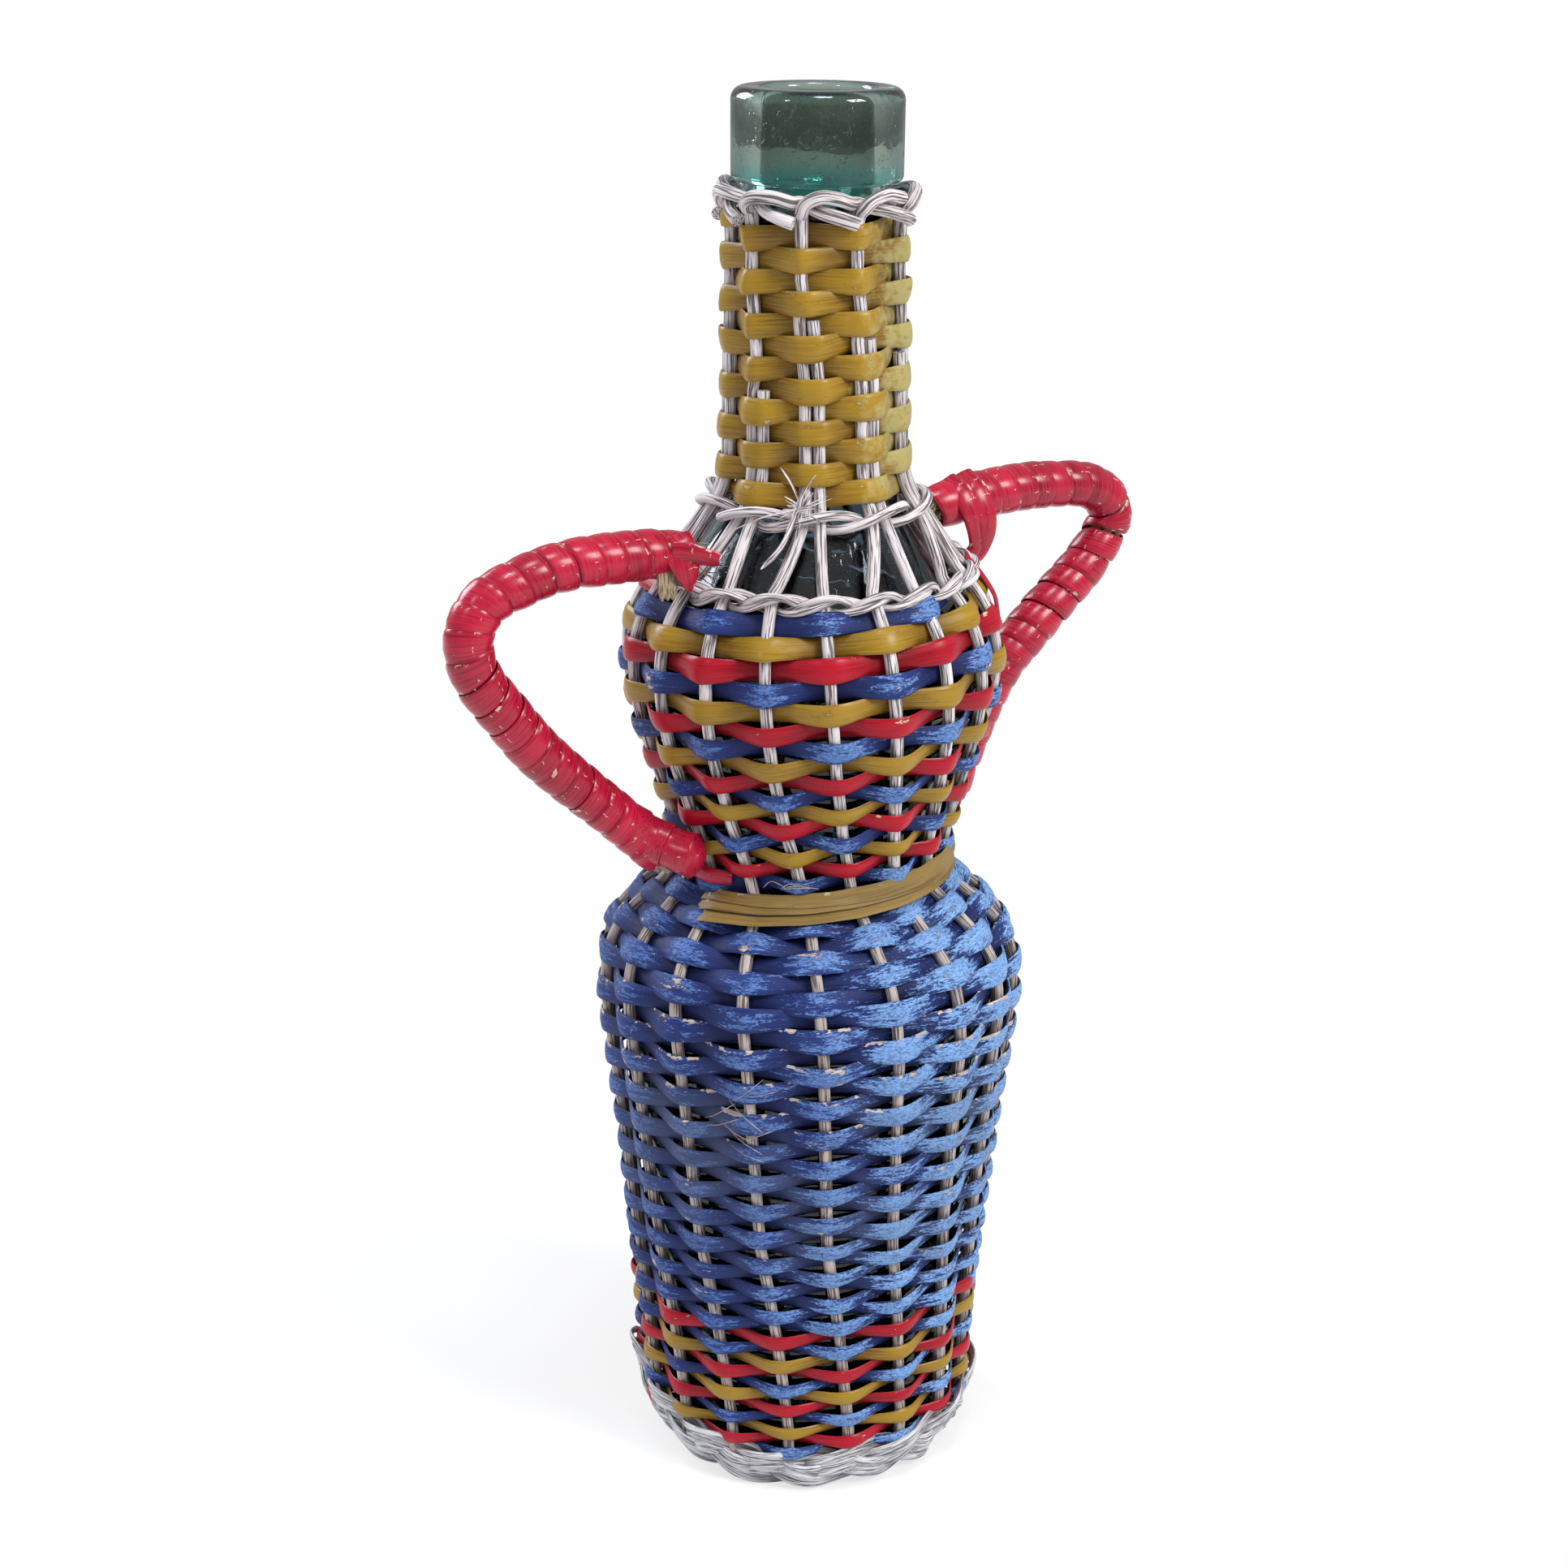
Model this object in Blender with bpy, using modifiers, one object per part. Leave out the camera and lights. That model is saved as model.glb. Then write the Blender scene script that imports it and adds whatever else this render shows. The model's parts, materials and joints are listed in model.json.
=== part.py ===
"""A glass demijohn in a painted wicker coat, with two wrapped cane handles.

Bare cane stakes stand on a plaited foot and run up the glass from the skirt,
over the waist and the bust, to the neck. Flat painted strips are woven round
them, two twined rings hold the open shoulder, and the long stakes are turned
down into a scalloped border under the lip. Sizes are in metres, +Z is up, and
the origin is the middle of the foot, on the ground. The handles lie along X.
"""
import math

import bpy
import numpy as np

MM = 0.001
TAU = math.tau

# Cane and clearances
STAKE_DIA = 3.0 * MM
STRIP_THICK = 1.0 * MM
STRAND_DIA = 2.4 * MM
CLEAR = 0.3 * MM
WEAVE_SLACK = 0.5 * MM
ROW_GAP = 0.5 * MM
WAIST_TURN_GAP = 0.7 * MM

# Counts
STAKE_COUNT = 19
GROUP_COUNT = 9
SKIRT_COLOUR_ROWS = 12
SKIRT_BLUE_ROWS = 19
BUST_ROWS = 15
NECK_ROWS = 13
WAIST_TURNS = 3
HANDLE_TURNS = 18
COLOUR_STARTS = 3

# Last row's pitch over the first row's
SKIRT_PITCH_GROWTH = 1.37
BUST_PITCH_GROWTH = 1.6

# Stake line: heights of the sections, from the ground up
FOOT_HEIGHT = 18.0 * MM
SKIRT_HEIGHT = 113.0 * MM
HIP_HEIGHT = 37.0 * MM
RIB_HEIGHT = 57.0 * MM
BREAST_HEIGHT = 24.0 * MM
SHOULDER_HEIGHT = 18.0 * MM
FLARE_HEIGHT = 14.0 * MM
NECK_HEIGHT = 56.0 * MM
BORDER_HEIGHT = 9.5 * MM
LIP_HEIGHT = 22.8 * MM

# Stake line: radii between the sections
FOOT_RADIUS = 44.8 * MM
HIP_RADIUS = 55.4 * MM
WAIST_RADIUS = 35.6 * MM
BUST_RADIUS = 48.3 * MM
LOW_RING_RADIUS = 37.6 * MM
HIGH_RING_RADIUS = 25.6 * MM
NECK_BASE_RADIUS = 22.5 * MM
NECK_RADIUS = 21.2 * MM

# The waist's wrap reaches this far below and above the narrowest place
WRAP_BELOW_WAIST = 6.0 * MM
WRAP_ABOVE_WAIST = 8.0 * MM

# Stakes stand side by side in groups in the low neck
PAIR_HALF_GAP = 0.2 * MM
PAIR_HEIGHT = 26.0 * MM
PAIR_CLOSING = 8.0 * MM

# Glass
GLASS_WALL = 3.0 * MM
GLASS_FLOOR = 4.0 * MM
PUNT_HEIGHT = 12.0 * MM
HEEL_ROUND = 7.0 * MM
LIP_RADIUS = 21.6 * MM
LIP_ROUND = 2.6 * MM
LIP_UNDERSIDE = -70.0
BORE_RADIUS = 14.0 * MM
BORE_DEPTH = 26.0 * MM

# Foot and base
FOOT_OUTER_RADIUS = 47.8 * MM
FOOT_BOTTOM_INSET = 3.4 * MM
BASE_THICK = 3.4 * MM
BASE_LIFT = 1.3 * MM

# Handles
HANDLE_REACH = 99.6 * MM
HANDLE_CORE_DIA = 8.6 * MM
HANDLE_WRAP_SLACK = 0.65 * MM
HANDLE_STRIP_THICK = 1.0 * MM
HANDLE_TURN_GAP = 1.1 * MM
HANDLE_FOOT_HEIGHT = 2.0 * MM

# Border: how far the turned-down stakes stand out and sink in
BORDER_BULGE = 3.7 * MM
BORDER_TUCK = 0.6 * MM

# Facet counts
GLASS_SIDES = 24
FOOT_SIDES = 24
HANDLE_TURN_SIDES = 8
HANDLE_CHORDS = 22
CURVE_SAMPLES = 50
SPAN_SAMPLES = 1500
SECTION_STEPS = (2, 4, 3, 2, 1, 2, 1)

# Turned points nearer than this become one
MERGE_WITHIN = 0.02 * MM

# How much shorter a handle's chords are where it bends
BEND_WEIGHT = 2.0

STAKE_R = STAKE_DIA / 2
STRAND_R = STRAND_DIA / 2
WEAVE_OFFSET = STAKE_R + CLEAR + STRIP_THICK / 2 + WEAVE_SLACK
WEAVE_DEPTH = WEAVE_OFFSET + STRIP_THICK / 2
GLASS_INSET = WEAVE_DEPTH + CLEAR + WEAVE_SLACK
RING_SWING = STAKE_R + STRAND_R + CLEAR + WEAVE_SLACK
RING_RISE = STRAND_R + CLEAR / 2
RING_INSET = RING_SWING + STRAND_R + CLEAR
HANDLE_CORE_R = HANDLE_CORE_DIA / 2
HANDLE_WRAP_R = HANDLE_CORE_R + CLEAR + HANDLE_WRAP_SLACK + HANDLE_STRIP_THICK / 2
HANDLE_WRAP_R /= math.cos(math.pi / HANDLE_TURN_SIDES)
HANDLE_OUTER_R = HANDLE_WRAP_R + HANDLE_STRIP_THICK / 2

HEIGHTS = np.cumsum([FOOT_HEIGHT + CLEAR, SKIRT_HEIGHT, HIP_HEIGHT, RIB_HEIGHT, BREAST_HEIGHT,
                     SHOULDER_HEIGHT, FLARE_HEIGHT, NECK_HEIGHT])
Z_FOOT, Z_HIP, Z_WAIST, Z_BUST, Z_LOW_RING, Z_HIGH_RING, Z_NECK, Z_NECK_TOP = HEIGHTS
Z_LIP = Z_NECK_TOP + BORDER_HEIGHT
Z_TOP = Z_LIP + LIP_HEIGHT

# How far the stakes are turned to the right at these heights, in degrees: most at the foot
LEAN = ((Z_FOOT, 24.0), ((Z_FOOT + Z_HIP) / 2, 16.5), (Z_HIP, 13.5), (Z_WAIST, 7.0),
        (Z_WAIST + RIB_HEIGHT / 3, 1.6), (Z_BUST, -3.6), (Z_LOW_RING, -5.2), (Z_HIGH_RING, 0.0),
        (Z_NECK_TOP, -8.0))


def smooth(t):
    """Ease from 0 to 1 with level ends."""
    return t * t * (3.0 - 2.0 * t)


# Each section runs from its lower to its upper radius by one easing of the height, in a few
# steps that a power crowds towards its upper end
SECTIONS = (
    (Z_FOOT, FOOT_RADIUS, Z_HIP, HIP_RADIUS, 1.0, lambda t: t ** 1.3),
    (Z_HIP, HIP_RADIUS, Z_WAIST, WAIST_RADIUS, 0.62, lambda t: smooth(t * t)),
    (Z_WAIST, WAIST_RADIUS, Z_BUST, BUST_RADIUS, 1.0, smooth),
    (Z_BUST, BUST_RADIUS, Z_LOW_RING, LOW_RING_RADIUS, 0.8, lambda t: t ** 2.3),
    (Z_LOW_RING, LOW_RING_RADIUS, Z_HIGH_RING, HIGH_RING_RADIUS, 1.0, lambda t: t),
    (Z_HIGH_RING, HIGH_RING_RADIUS, Z_NECK, NECK_BASE_RADIUS, 1.0, lambda t: 1 - (1 - t) ** 2.5),
    (Z_NECK, NECK_BASE_RADIUS, Z_NECK_TOP, NECK_RADIUS, 1.0, lambda t: t),
)


def stake_line():
    """The stakes' centre line in the (radius, height) plane, from the foot to the neck's top."""
    points = [(FOOT_RADIUS, Z_FOOT)]
    for steps, (z0, r0, z1, r1, crowd, ease) in zip(SECTION_STEPS, SECTIONS):
        for step in range(1, steps + 1):
            t = (step / steps) ** crowd
            points.append((r0 + (r1 - r0) * ease(t), z0 + (z1 - z0) * t))
    return np.array(points)


LINE = stake_line()
LINE_S = np.concatenate([[0.0], np.cumsum(np.hypot(*np.diff(LINE, axis=0).T))])


def line_normals():
    """Outward normals at the line's points, halfway between those of the two segments."""
    step = np.diff(LINE, axis=0)
    step /= np.hypot(step[:, 0], step[:, 1])[:, None]
    normal = np.stack([step[:, 1], -step[:, 0]], axis=1)
    both = np.vstack([normal[:1], normal[:-1] + normal[1:], normal[-1:]])
    return both / np.hypot(both[:, 0], both[:, 1])[:, None]


LINE_N = line_normals()


def wall(s, offset=0.0):
    """Radius and height at a length s along the stake line, moved out by offset."""
    r = np.interp(s, LINE_S, LINE[:, 0])
    z = np.interp(s, LINE_S, LINE[:, 1])
    nr = np.interp(s, LINE_S, LINE_N[:, 0])
    nz = np.interp(s, LINE_S, LINE_N[:, 1])
    size = np.hypot(nr, nz)
    return r + offset * nr / size, z + offset * nz / size


def length_at(z):
    """Length along the stake line at the height z."""
    return float(np.interp(z, LINE[:, 1], LINE_S))


def place(r, angle, z):
    """A point from its cylinder coordinates."""
    return (r * math.cos(angle), r * math.sin(angle), z)


S_HIP = length_at(Z_HIP)
S_WAIST = length_at(Z_WAIST)
S_LOW_RING = length_at(Z_LOW_RING)
S_HIGH_RING = length_at(Z_HIGH_RING)
S_END = LINE_S[-1]
S_PAIR_TOP = length_at(Z_HIGH_RING + PAIR_HEIGHT)
S_WAIST_LOW = S_WAIST - WRAP_BELOW_WAIST
S_WAIST_HIGH = S_WAIST + WRAP_ABOVE_WAIST
S_BUST_HIGH = S_LOW_RING - RING_RISE - STRAND_R - 2 * CLEAR

# Woven fields: rows, from and to as lengths along the stake line, growth of the pitch
SKIRT = (SKIRT_COLOUR_ROWS + SKIRT_BLUE_ROWS, CLEAR, S_WAIST_LOW, SKIRT_PITCH_GROWTH)
BUST = (BUST_ROWS, S_WAIST_HIGH, S_BUST_HIGH, BUST_PITCH_GROWTH)


LEAN_S = np.array([length_at(z) for z, _ in LEAN])
LEAN_ANGLES = np.radians([degrees for _, degrees in LEAN])


def lean(s):
    """Turn to the right of everything at the length s along the stake line."""
    return float(np.interp(s, LEAN_S, LEAN_ANGLES))


def home_angle(stake):
    """Angle of a stake before the lean, evenly spaced."""
    return TAU * stake / STAKE_COUNT


def group_of(stake):
    """The neck group that a stake joins: pairs, and the stakes left over join the last."""
    return min(stake // 2, GROUP_COUNT - 1)


def members(group):
    """The stakes of one neck group."""
    return [stake for stake in range(STAKE_COUNT) if group_of(stake) == group]


def group_angle(position):
    """Angle of a neck group before the lean; a fraction lies between two groups."""
    homes = [np.mean([home_angle(stake) for stake in members(group)]) for group in range(GROUP_COUNT)]
    turn, group = divmod(position, GROUP_COUNT)
    return TAU * turn + float(np.interp(group, range(GROUP_COUNT + 1), homes + [homes[0] + TAU]))


def side_of(stake):
    """Place in its group, counted in half steps: -1 and 1 in a pair, and -2, 0, 2 in a three."""
    group = members(group_of(stake))
    return 2 * group.index(stake) - (len(group) - 1)


def group_half_width(group):
    """Half the way between the middles of a group's outermost stakes."""
    return (len(members(group)) - 1) * (STAKE_R + PAIR_HALF_GAP)


def stake_angle(stake, s):
    """Angle of a stake at the length s: it leans, and joins its group above the shoulder."""
    home = home_angle(stake)
    if s <= S_LOW_RING:
        return home + lean(s)
    share = min(1.0, (s - S_LOW_RING) / (S_HIGH_RING - S_LOW_RING))
    apart = 1.0 - min(1.0, max(0.0, (s - S_PAIR_TOP - CLEAR) / PAIR_CLOSING))
    radius = wall(s)[0]
    joined = group_angle(group_of(stake)) + side_of(stake) * apart * (STAKE_R + PAIR_HALF_GAP) / radius
    return home + (joined - home) * share + lean(s)


def collection(name):
    group = bpy.data.collections.new(name)
    bpy.context.scene.collection.children.link(group)
    return group


def paint(name, colour, roughness, transmission=0.0):
    """A Principled material."""
    material = bpy.data.materials.new(name)
    material.use_nodes = True
    shader = material.node_tree.nodes["Principled BSDF"]
    shader.inputs["Base Color"].default_value = (*colour, 1.0)
    shader.inputs["Roughness"].default_value = roughness
    shader.inputs["Metallic"].default_value = 0.0
    shader.inputs["Transmission Weight"].default_value = transmission
    material.diffuse_color = (*colour, 1.0)
    return material


def add(name, data, material):
    """Link a mesh or curve to the part's collection as one named piece."""
    data.materials.append(material)
    piece = bpy.data.objects.new(name, data)
    PART.objects.link(piece)
    return piece


def cane(name, points, radius, material, closed=False, rounding=1):
    """A cane along points, with filled ends: six-sided, or four-sided with a rounding of 0."""
    curve = bpy.data.curves.new(name, "CURVE")
    curve.dimensions = "3D"
    curve.bevel_depth = radius
    curve.bevel_resolution = rounding
    curve.use_fill_caps = not closed
    spline = curve.splines.new("POLY")
    spline.points.add(len(points) - 1)
    for point, place_at in zip(spline.points, points):
        point.co = (*place_at, 1.0)
    spline.use_cyclic_u = closed
    return add(name, curve, material)


def strip(name, edge_a, edge_b, thickness, material):
    """A flat strip between two edges: an open surface given its thickness both ways."""
    count = len(edge_a)
    mesh = bpy.data.meshes.new(name)
    faces = [(i, i + 1, count + i + 1, count + i) for i in range(count - 1)]
    mesh.from_pydata(list(edge_a) + list(edge_b), [], faces)
    piece = add(name, mesh, material)
    solid = piece.modifiers.new("Thickness", "SOLIDIFY")
    solid.thickness = thickness
    solid.offset = 0.0
    solid.use_even_offset = True
    return piece


def turned(name, profile, sides, material, closed=True):
    """A turned piece: a profile in the XZ plane, outer side first and downwards."""
    mesh = bpy.data.meshes.new(name)
    count = len(profile)
    edges = [(i, i + 1) for i in range(count - 1)]
    if closed:
        edges.append((count - 1, 0))
    mesh.from_pydata([(r, 0.0, z) for r, z in profile], edges, [])
    piece = add(name, mesh, material)
    screw = piece.modifiers.new("Turn", "SCREW")
    screw.axis = "Z"
    screw.angle = TAU
    screw.steps = sides
    screw.render_steps = sides
    screw.use_merge_vertices = True
    screw.merge_threshold = MERGE_WITHIN
    screw.use_smooth_shade = True
    return piece


def arc(centre, radius, start, end, steps):
    """Points of an arc in the (radius, height) plane; angles in degrees."""
    angles = [math.radians(start + (end - start) * i / steps) for i in range(steps + 1)]
    return [(centre[0] + radius * math.cos(a), centre[1] + radius * math.sin(a)) for a in angles]


def glass_line(every=1):
    """The glass's line behind the wicker, from the neck down; it draws in behind the rings."""
    near = STRAND_DIA + RING_RISE
    shoulder_low = S_LOW_RING - near
    shoulder_high = S_HIGH_RING + near
    stations = [(s, GLASS_INSET) for s in LINE_S[::every]
                if s < shoulder_low - near or s > shoulder_high + near]
    stations += [(s, RING_INSET) for s in (shoulder_low, S_LOW_RING, S_HIGH_RING, shoulder_high)]
    return [wall(s, -inset) for s, inset in sorted(stations, reverse=True)]


def glass_bottle(material):
    """The bottle: wall, punt and collar lip, open at the mouth, turned as one closed profile."""
    seat = BASE_LIFT + BASE_THICK + CLEAR
    outer = glass_line()
    inner = [(r - GLASS_WALL, z) for r, z in glass_line(2)]
    heel_radius = outer[-1][0]
    lip = arc((LIP_RADIUS - LIP_ROUND, Z_TOP - LIP_ROUND), LIP_ROUND, 90, 0, 2)
    lip += arc((LIP_RADIUS - LIP_ROUND, Z_LIP + LIP_ROUND), LIP_ROUND, 0, LIP_UNDERSIDE, 2)
    lip.append((outer[0][0], Z_LIP))
    heel = arc((heel_radius - HEEL_ROUND, seat + HEEL_ROUND), HEEL_ROUND, 0, -90, 2)
    punt = [(heel_radius / 2, seat + PUNT_HEIGHT / 2), (0.0, seat + PUNT_HEIGHT)]
    floor = [(0.0, seat + PUNT_HEIGHT + GLASS_FLOOR),
             (heel_radius / 2, seat + PUNT_HEIGHT / 2 + GLASS_FLOOR),
             (heel_radius - HEEL_ROUND, seat + GLASS_FLOOR),
             (heel_radius - GLASS_WALL, seat + HEEL_ROUND)]
    bore = [(min(BORE_RADIUS, inner[0][0]), Z_TOP - BORE_DEPTH), (BORE_RADIUS, Z_TOP - LIP_ROUND / 2),
            (BORE_RADIUS + LIP_ROUND / 2, Z_TOP)]
    profile = lip + outer + heel + punt + floor + inner[::-1] + bore
    return turned("glass_bottle", profile, GLASS_SIDES, material)


def stake(index, material):
    """One stake: up the wall, then into the border if it is the long one of its group."""
    side = side_of(index)
    ends_in_border = side in (-1, 0)
    top = S_END if ends_in_border else S_PAIR_TOP
    lengths = [s for s in LINE_S if s < top - STAKE_DIA]
    if side == -1:
        lengths += [S_PAIR_TOP + CLEAR, S_PAIR_TOP + CLEAR + PAIR_CLOSING]
    lengths = sorted(lengths) + [top]
    points = []
    for s in lengths:
        r, z = wall(s)
        points.append(place(r, stake_angle(index, s), z))
    if ends_in_border:
        points += border_points(group_of(index))
    return cane(f"stake_{index + 1:02d}", points, STAKE_R, material)


# The border's route past the top of the weave: group steps to the right, share of the way
# from tucked in behind the next stake (0) to standing out in front (1), share of its height
BORDER_ROUTE = ((0.00, 0.46, 0.14), (0.01, 0.79, 0.32), (0.06, 0.98, 0.62), (0.22, 1.00, 0.92),
                (0.56, 0.97, 0.92), (1.00, 0.00, 0.46), (1.16, 0.07, 0.38), (1.40, 0.60, 0.31),
                (1.74, 1.00, 0.26))


def border_points(group):
    """A long stake turned down: an arch to the right, behind the next stake and out again."""
    tucked = NECK_RADIUS - BORDER_TUCK
    standing = NECK_RADIUS + BORDER_BULGE
    points = []
    for steps, out, rise in BORDER_ROUTE:
        angle = group_angle(group + steps) + lean(S_END)
        r = tucked + (standing - tucked) * out
        points.append(place(r, angle, Z_NECK_TOP + rise * BORDER_HEIGHT))
    return points


def row_length(row, rows, s_low, s_high, ratio):
    """Length along the wall of a row's middle, with the pitch changing evenly by ratio."""
    first = 2.0 / (1.0 + ratio)
    last = ratio * first
    t = row / rows
    return s_low + (s_high - s_low) * (first * t + (last - first) * t * t / 2)


def weaver(name, material, field, lane, first_row=0, last_row=None):
    """A strip woven in and out of every stake, in a spiral that climbs to the right.

    A field's spiral has three starts, and this is the strip in one lane: it lies one row
    over the strip in the lane before. It runs from first_row to last_row of the field.
    """
    rows, s_low, s_high, ratio = field
    end_row = rows if last_row is None else last_row
    first = math.ceil(STAKE_COUNT * (first_row - lane) / COLOUR_STARTS)
    last = math.ceil(STAKE_COUNT * (end_row - lane) / COLOUR_STARTS)
    if last_row is None:
        last -= STAKE_COUNT // COLOUR_STARTS + 1
    low_edge = []
    high_edge = []
    for step in range(first, last + 1):
        row = 0.5 + lane + COLOUR_STARTS * step / STAKE_COUNT
        middle = row_length(row, rows, s_low, s_high, ratio)
        ahead = row_length(row + 0.5, rows, s_low, s_high, ratio)
        behind = row_length(row - 0.5, rows, s_low, s_high, ratio)
        half = (ahead - behind - ROW_GAP) / 2
        side = 1 if (step + lane) % 2 else -1
        for edge, s in ((low_edge, middle - half), (high_edge, middle + half)):
            r, z = wall(s, side * WEAVE_OFFSET)
            edge.append(np.array(place(r, stake_angle(step % STAKE_COUNT, s), z)))
    if last_row is not None:
        for edge in (low_edge, high_edge):
            back = edge[-2] - edge[-1]
            edge[-1] = edge[-1] + back * (STRIP_THICK + CLEAR) / np.linalg.norm(back)
    return strip(name, low_edge, high_edge, STRIP_THICK, material)


def neck_weaver(material):
    """The neck's strip, in and out of the stake groups, flat across each pair."""
    s_low = S_HIGH_RING + RING_RISE + STRAND_R + ROW_GAP
    s_high = S_END - CLEAR
    low_edge = []
    high_edge = []
    for step in range(GROUP_COUNT * (NECK_ROWS - 1) + 1):
        group = step % GROUP_COUNT
        row = 0.5 + step / GROUP_COUNT
        middle = row_length(row, NECK_ROWS, s_low, s_high, 1.0)
        half = ((s_high - s_low) / NECK_ROWS - ROW_GAP) / 2
        side = -1 if step % 2 else 1
        radius = wall(middle)[0]
        paired = middle - half < S_PAIR_TOP + PAIR_CLOSING + CLEAR
        spread = (group_half_width(group) + CLEAR) / radius if paired else 0.0
        for turn in ((-spread, spread) if paired else (0.0,)):
            angle = group_angle(group) + lean(middle) + turn
            for edge, s in ((low_edge, middle - half), (high_edge, middle + half)):
                r, z = wall(s, side * WEAVE_OFFSET)
                edge.append(place(r, angle, z))
    return strip("neck_weaver", low_edge, high_edge, STRIP_THICK, material)


def low_ring(material):
    """The twined ring on the bust: one cane twice round, crossing itself between stakes."""
    points = []
    for step in range(2 * STAKE_COUNT):
        side = 1 if step % 2 else -1
        r, z = wall(S_LOW_RING, side * RING_SWING)
        points.append(place(r, home_angle(step) + lean(S_LOW_RING), z))
        r, z = wall(S_LOW_RING + side * RING_RISE)
        points.append(place(r, home_angle(step + 0.5) + lean(S_LOW_RING), z))
    return cane("shoulder_ring", points, STRAND_R, material, closed=True, rounding=0)


def high_ring(material):
    """The twined ring under the neck: it passes each group of stakes flat, in front or behind."""
    points = []
    for step in range(2 * GROUP_COUNT):
        group = step % GROUP_COUNT
        side = 1 if step % 2 else -1
        spread = (group_half_width(group) + PAIR_HALF_GAP + CLEAR) / HIGH_RING_RADIUS
        r, z = wall(S_HIGH_RING, side * RING_SWING)
        for turn in (-spread, spread):
            points.append(place(r, group_angle(step) + turn, z))
        r, z = wall(S_HIGH_RING + side * RING_RISE)
        points.append(place(r, group_angle(step + 0.5), z))
    return cane("neck_ring", points, STRAND_R, material, closed=True, rounding=0)


def waist_wrap(material):
    """Three turns of flat cane wound over the stakes at the waist."""
    s_low = S_WAIST_LOW
    pitch = (S_WAIST_HIGH - S_WAIST_LOW) / (WAIST_TURNS + 1)
    half = (pitch - WAIST_TURN_GAP) / 2
    low_edge = []
    high_edge = []
    for step in range(WAIST_TURNS * STAKE_COUNT + 1):
        middle = s_low + pitch * (0.5 + step / STAKE_COUNT)
        angle = stake_angle(step % STAKE_COUNT, middle)
        for edge, s in ((low_edge, middle - half), (high_edge, middle + half)):
            r, z = wall(s, WEAVE_OFFSET)
            edge.append(place(r, angle, z))
    report_gap("waist_wrap", low_edge, high_edge, STAKE_COUNT)
    return strip("waist_wrap", low_edge, high_edge, STRIP_THICK, material)


def report_gap(name, low_edge, high_edge, per_turn):
    """Print the least distance from one turn's edge to the edge of the next."""
    low = np.array(low_edge[per_turn:])
    high = np.array(high_edge[:-per_turn])
    gap = np.linalg.norm(low - high, axis=1).min()
    print(f"{name}: least gap between turns {gap / MM:.2f} mm")


# The foot's outer side, downwards: share of the bottom's inset, share of the height
FOOT_OUTLINE = ((0.60, 1.00), (0.10, 0.70), (0.00, 0.36), (0.30, 0.12), (1.00, 0.00))


def foot_braid(material):
    """The plaited foot as a ring with a flat bottom and a rounded outer side."""
    inner = glass_line()[-1][0] + CLEAR
    profile = [(FOOT_OUTER_RADIUS - FOOT_BOTTOM_INSET * inset, FOOT_HEIGHT * height)
               for inset, height in FOOT_OUTLINE]
    profile += [(inner, 0.0), (inner, FOOT_HEIGHT)]
    return turned("foot_braid", profile, FOOT_SIDES, material)


def base_mat(material):
    """The woven base under the glass, as a plain disc held by the foot."""
    radius = glass_line()[-1][0]
    profile = [(0.0, BASE_LIFT + BASE_THICK), (radius, BASE_LIFT + BASE_THICK),
               (radius, BASE_LIFT), (0.0, BASE_LIFT)]
    return turned("base_mat", profile, FOOT_SIDES, material, closed=False)


# A handle's outline: share of its reach from the wall, share of its height
HANDLE_SHAPE = ((-0.25, 0.99), (0.00, 0.995), (0.28, 1.01), (0.60, 1.01), (0.86, 0.985), (0.985, 0.89),
                (0.99, 0.78), (0.86, 0.57), (0.62, 0.36), (0.33, 0.13), (0.14, 0.02), (0.00, 0.00),
                (-0.20, 0.00))

# The wicker is taken as no flatter than this, as a sine of its slope
LEAST_SLOPE = 0.5


def wall_reach(z, side):
    """Outer radius of the wicker at a height: at a stake on the right, between two on the left."""
    s = length_at(z)
    depth = STAKE_R if S_LOW_RING < s < S_HIGH_RING else WEAVE_DEPTH
    slope = np.interp(s, LINE_S, LINE_N[:, 0])
    corner = 1.0 if side > 0 else math.cos(math.pi / STAKE_COUNT)
    return float(wall(s)[0] + depth / max(slope, LEAST_SLOPE)) * corner


def handle_curve(side):
    """The handle's outline as chords, shorter where it turns, from the shoulder to the waist."""
    top = Z_LOW_RING + STRAND_R + CLEAR + HANDLE_OUTER_R
    bottom = Z_WAIST + HANDLE_FOOT_HEIGHT
    nodes = []
    for out, up in HANDLE_SHAPE:
        near = wall_reach(bottom, side) + (wall_reach(top, side) - wall_reach(bottom, side)) * up
        nodes.append((near + (HANDLE_REACH - near) * out, bottom + (top - bottom) * up))
    nodes = np.array(nodes)
    t = np.arange(CURVE_SAMPLES)[:, None] / CURVE_SAMPLES
    dense = [nodes[1:2]]
    for p0, p1, p2, p3 in zip(nodes, nodes[1:], nodes[2:], nodes[3:]):
        dense.append(0.5 * (2 * p1 + (p2 - p0) * t + (2 * p0 - 5 * p1 + 4 * p2 - p3) * t * t
                            + (3 * p1 - p0 - 3 * p2 + p3) * t ** 3)[1:])
    dense = np.vstack(dense)
    lengths = path_lengths(dense)
    heading = np.unwrap(np.arctan2(*np.gradient(dense, axis=0).T[::-1]))
    turned_by = np.concatenate([[0.0], np.cumsum(np.abs(np.diff(heading)))])
    spread = lengths / lengths[-1] + BEND_WEIGHT * turned_by / turned_by[-1]
    even = np.linspace(0.0, spread[-1], HANDLE_CHORDS + 1)
    return np.stack([np.interp(even, spread, dense[:, k]) for k in (0, 1)], axis=1)


def path_lengths(points):
    return np.concatenate([[0.0], np.cumsum(np.hypot(*np.diff(points, axis=0).T))])


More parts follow.
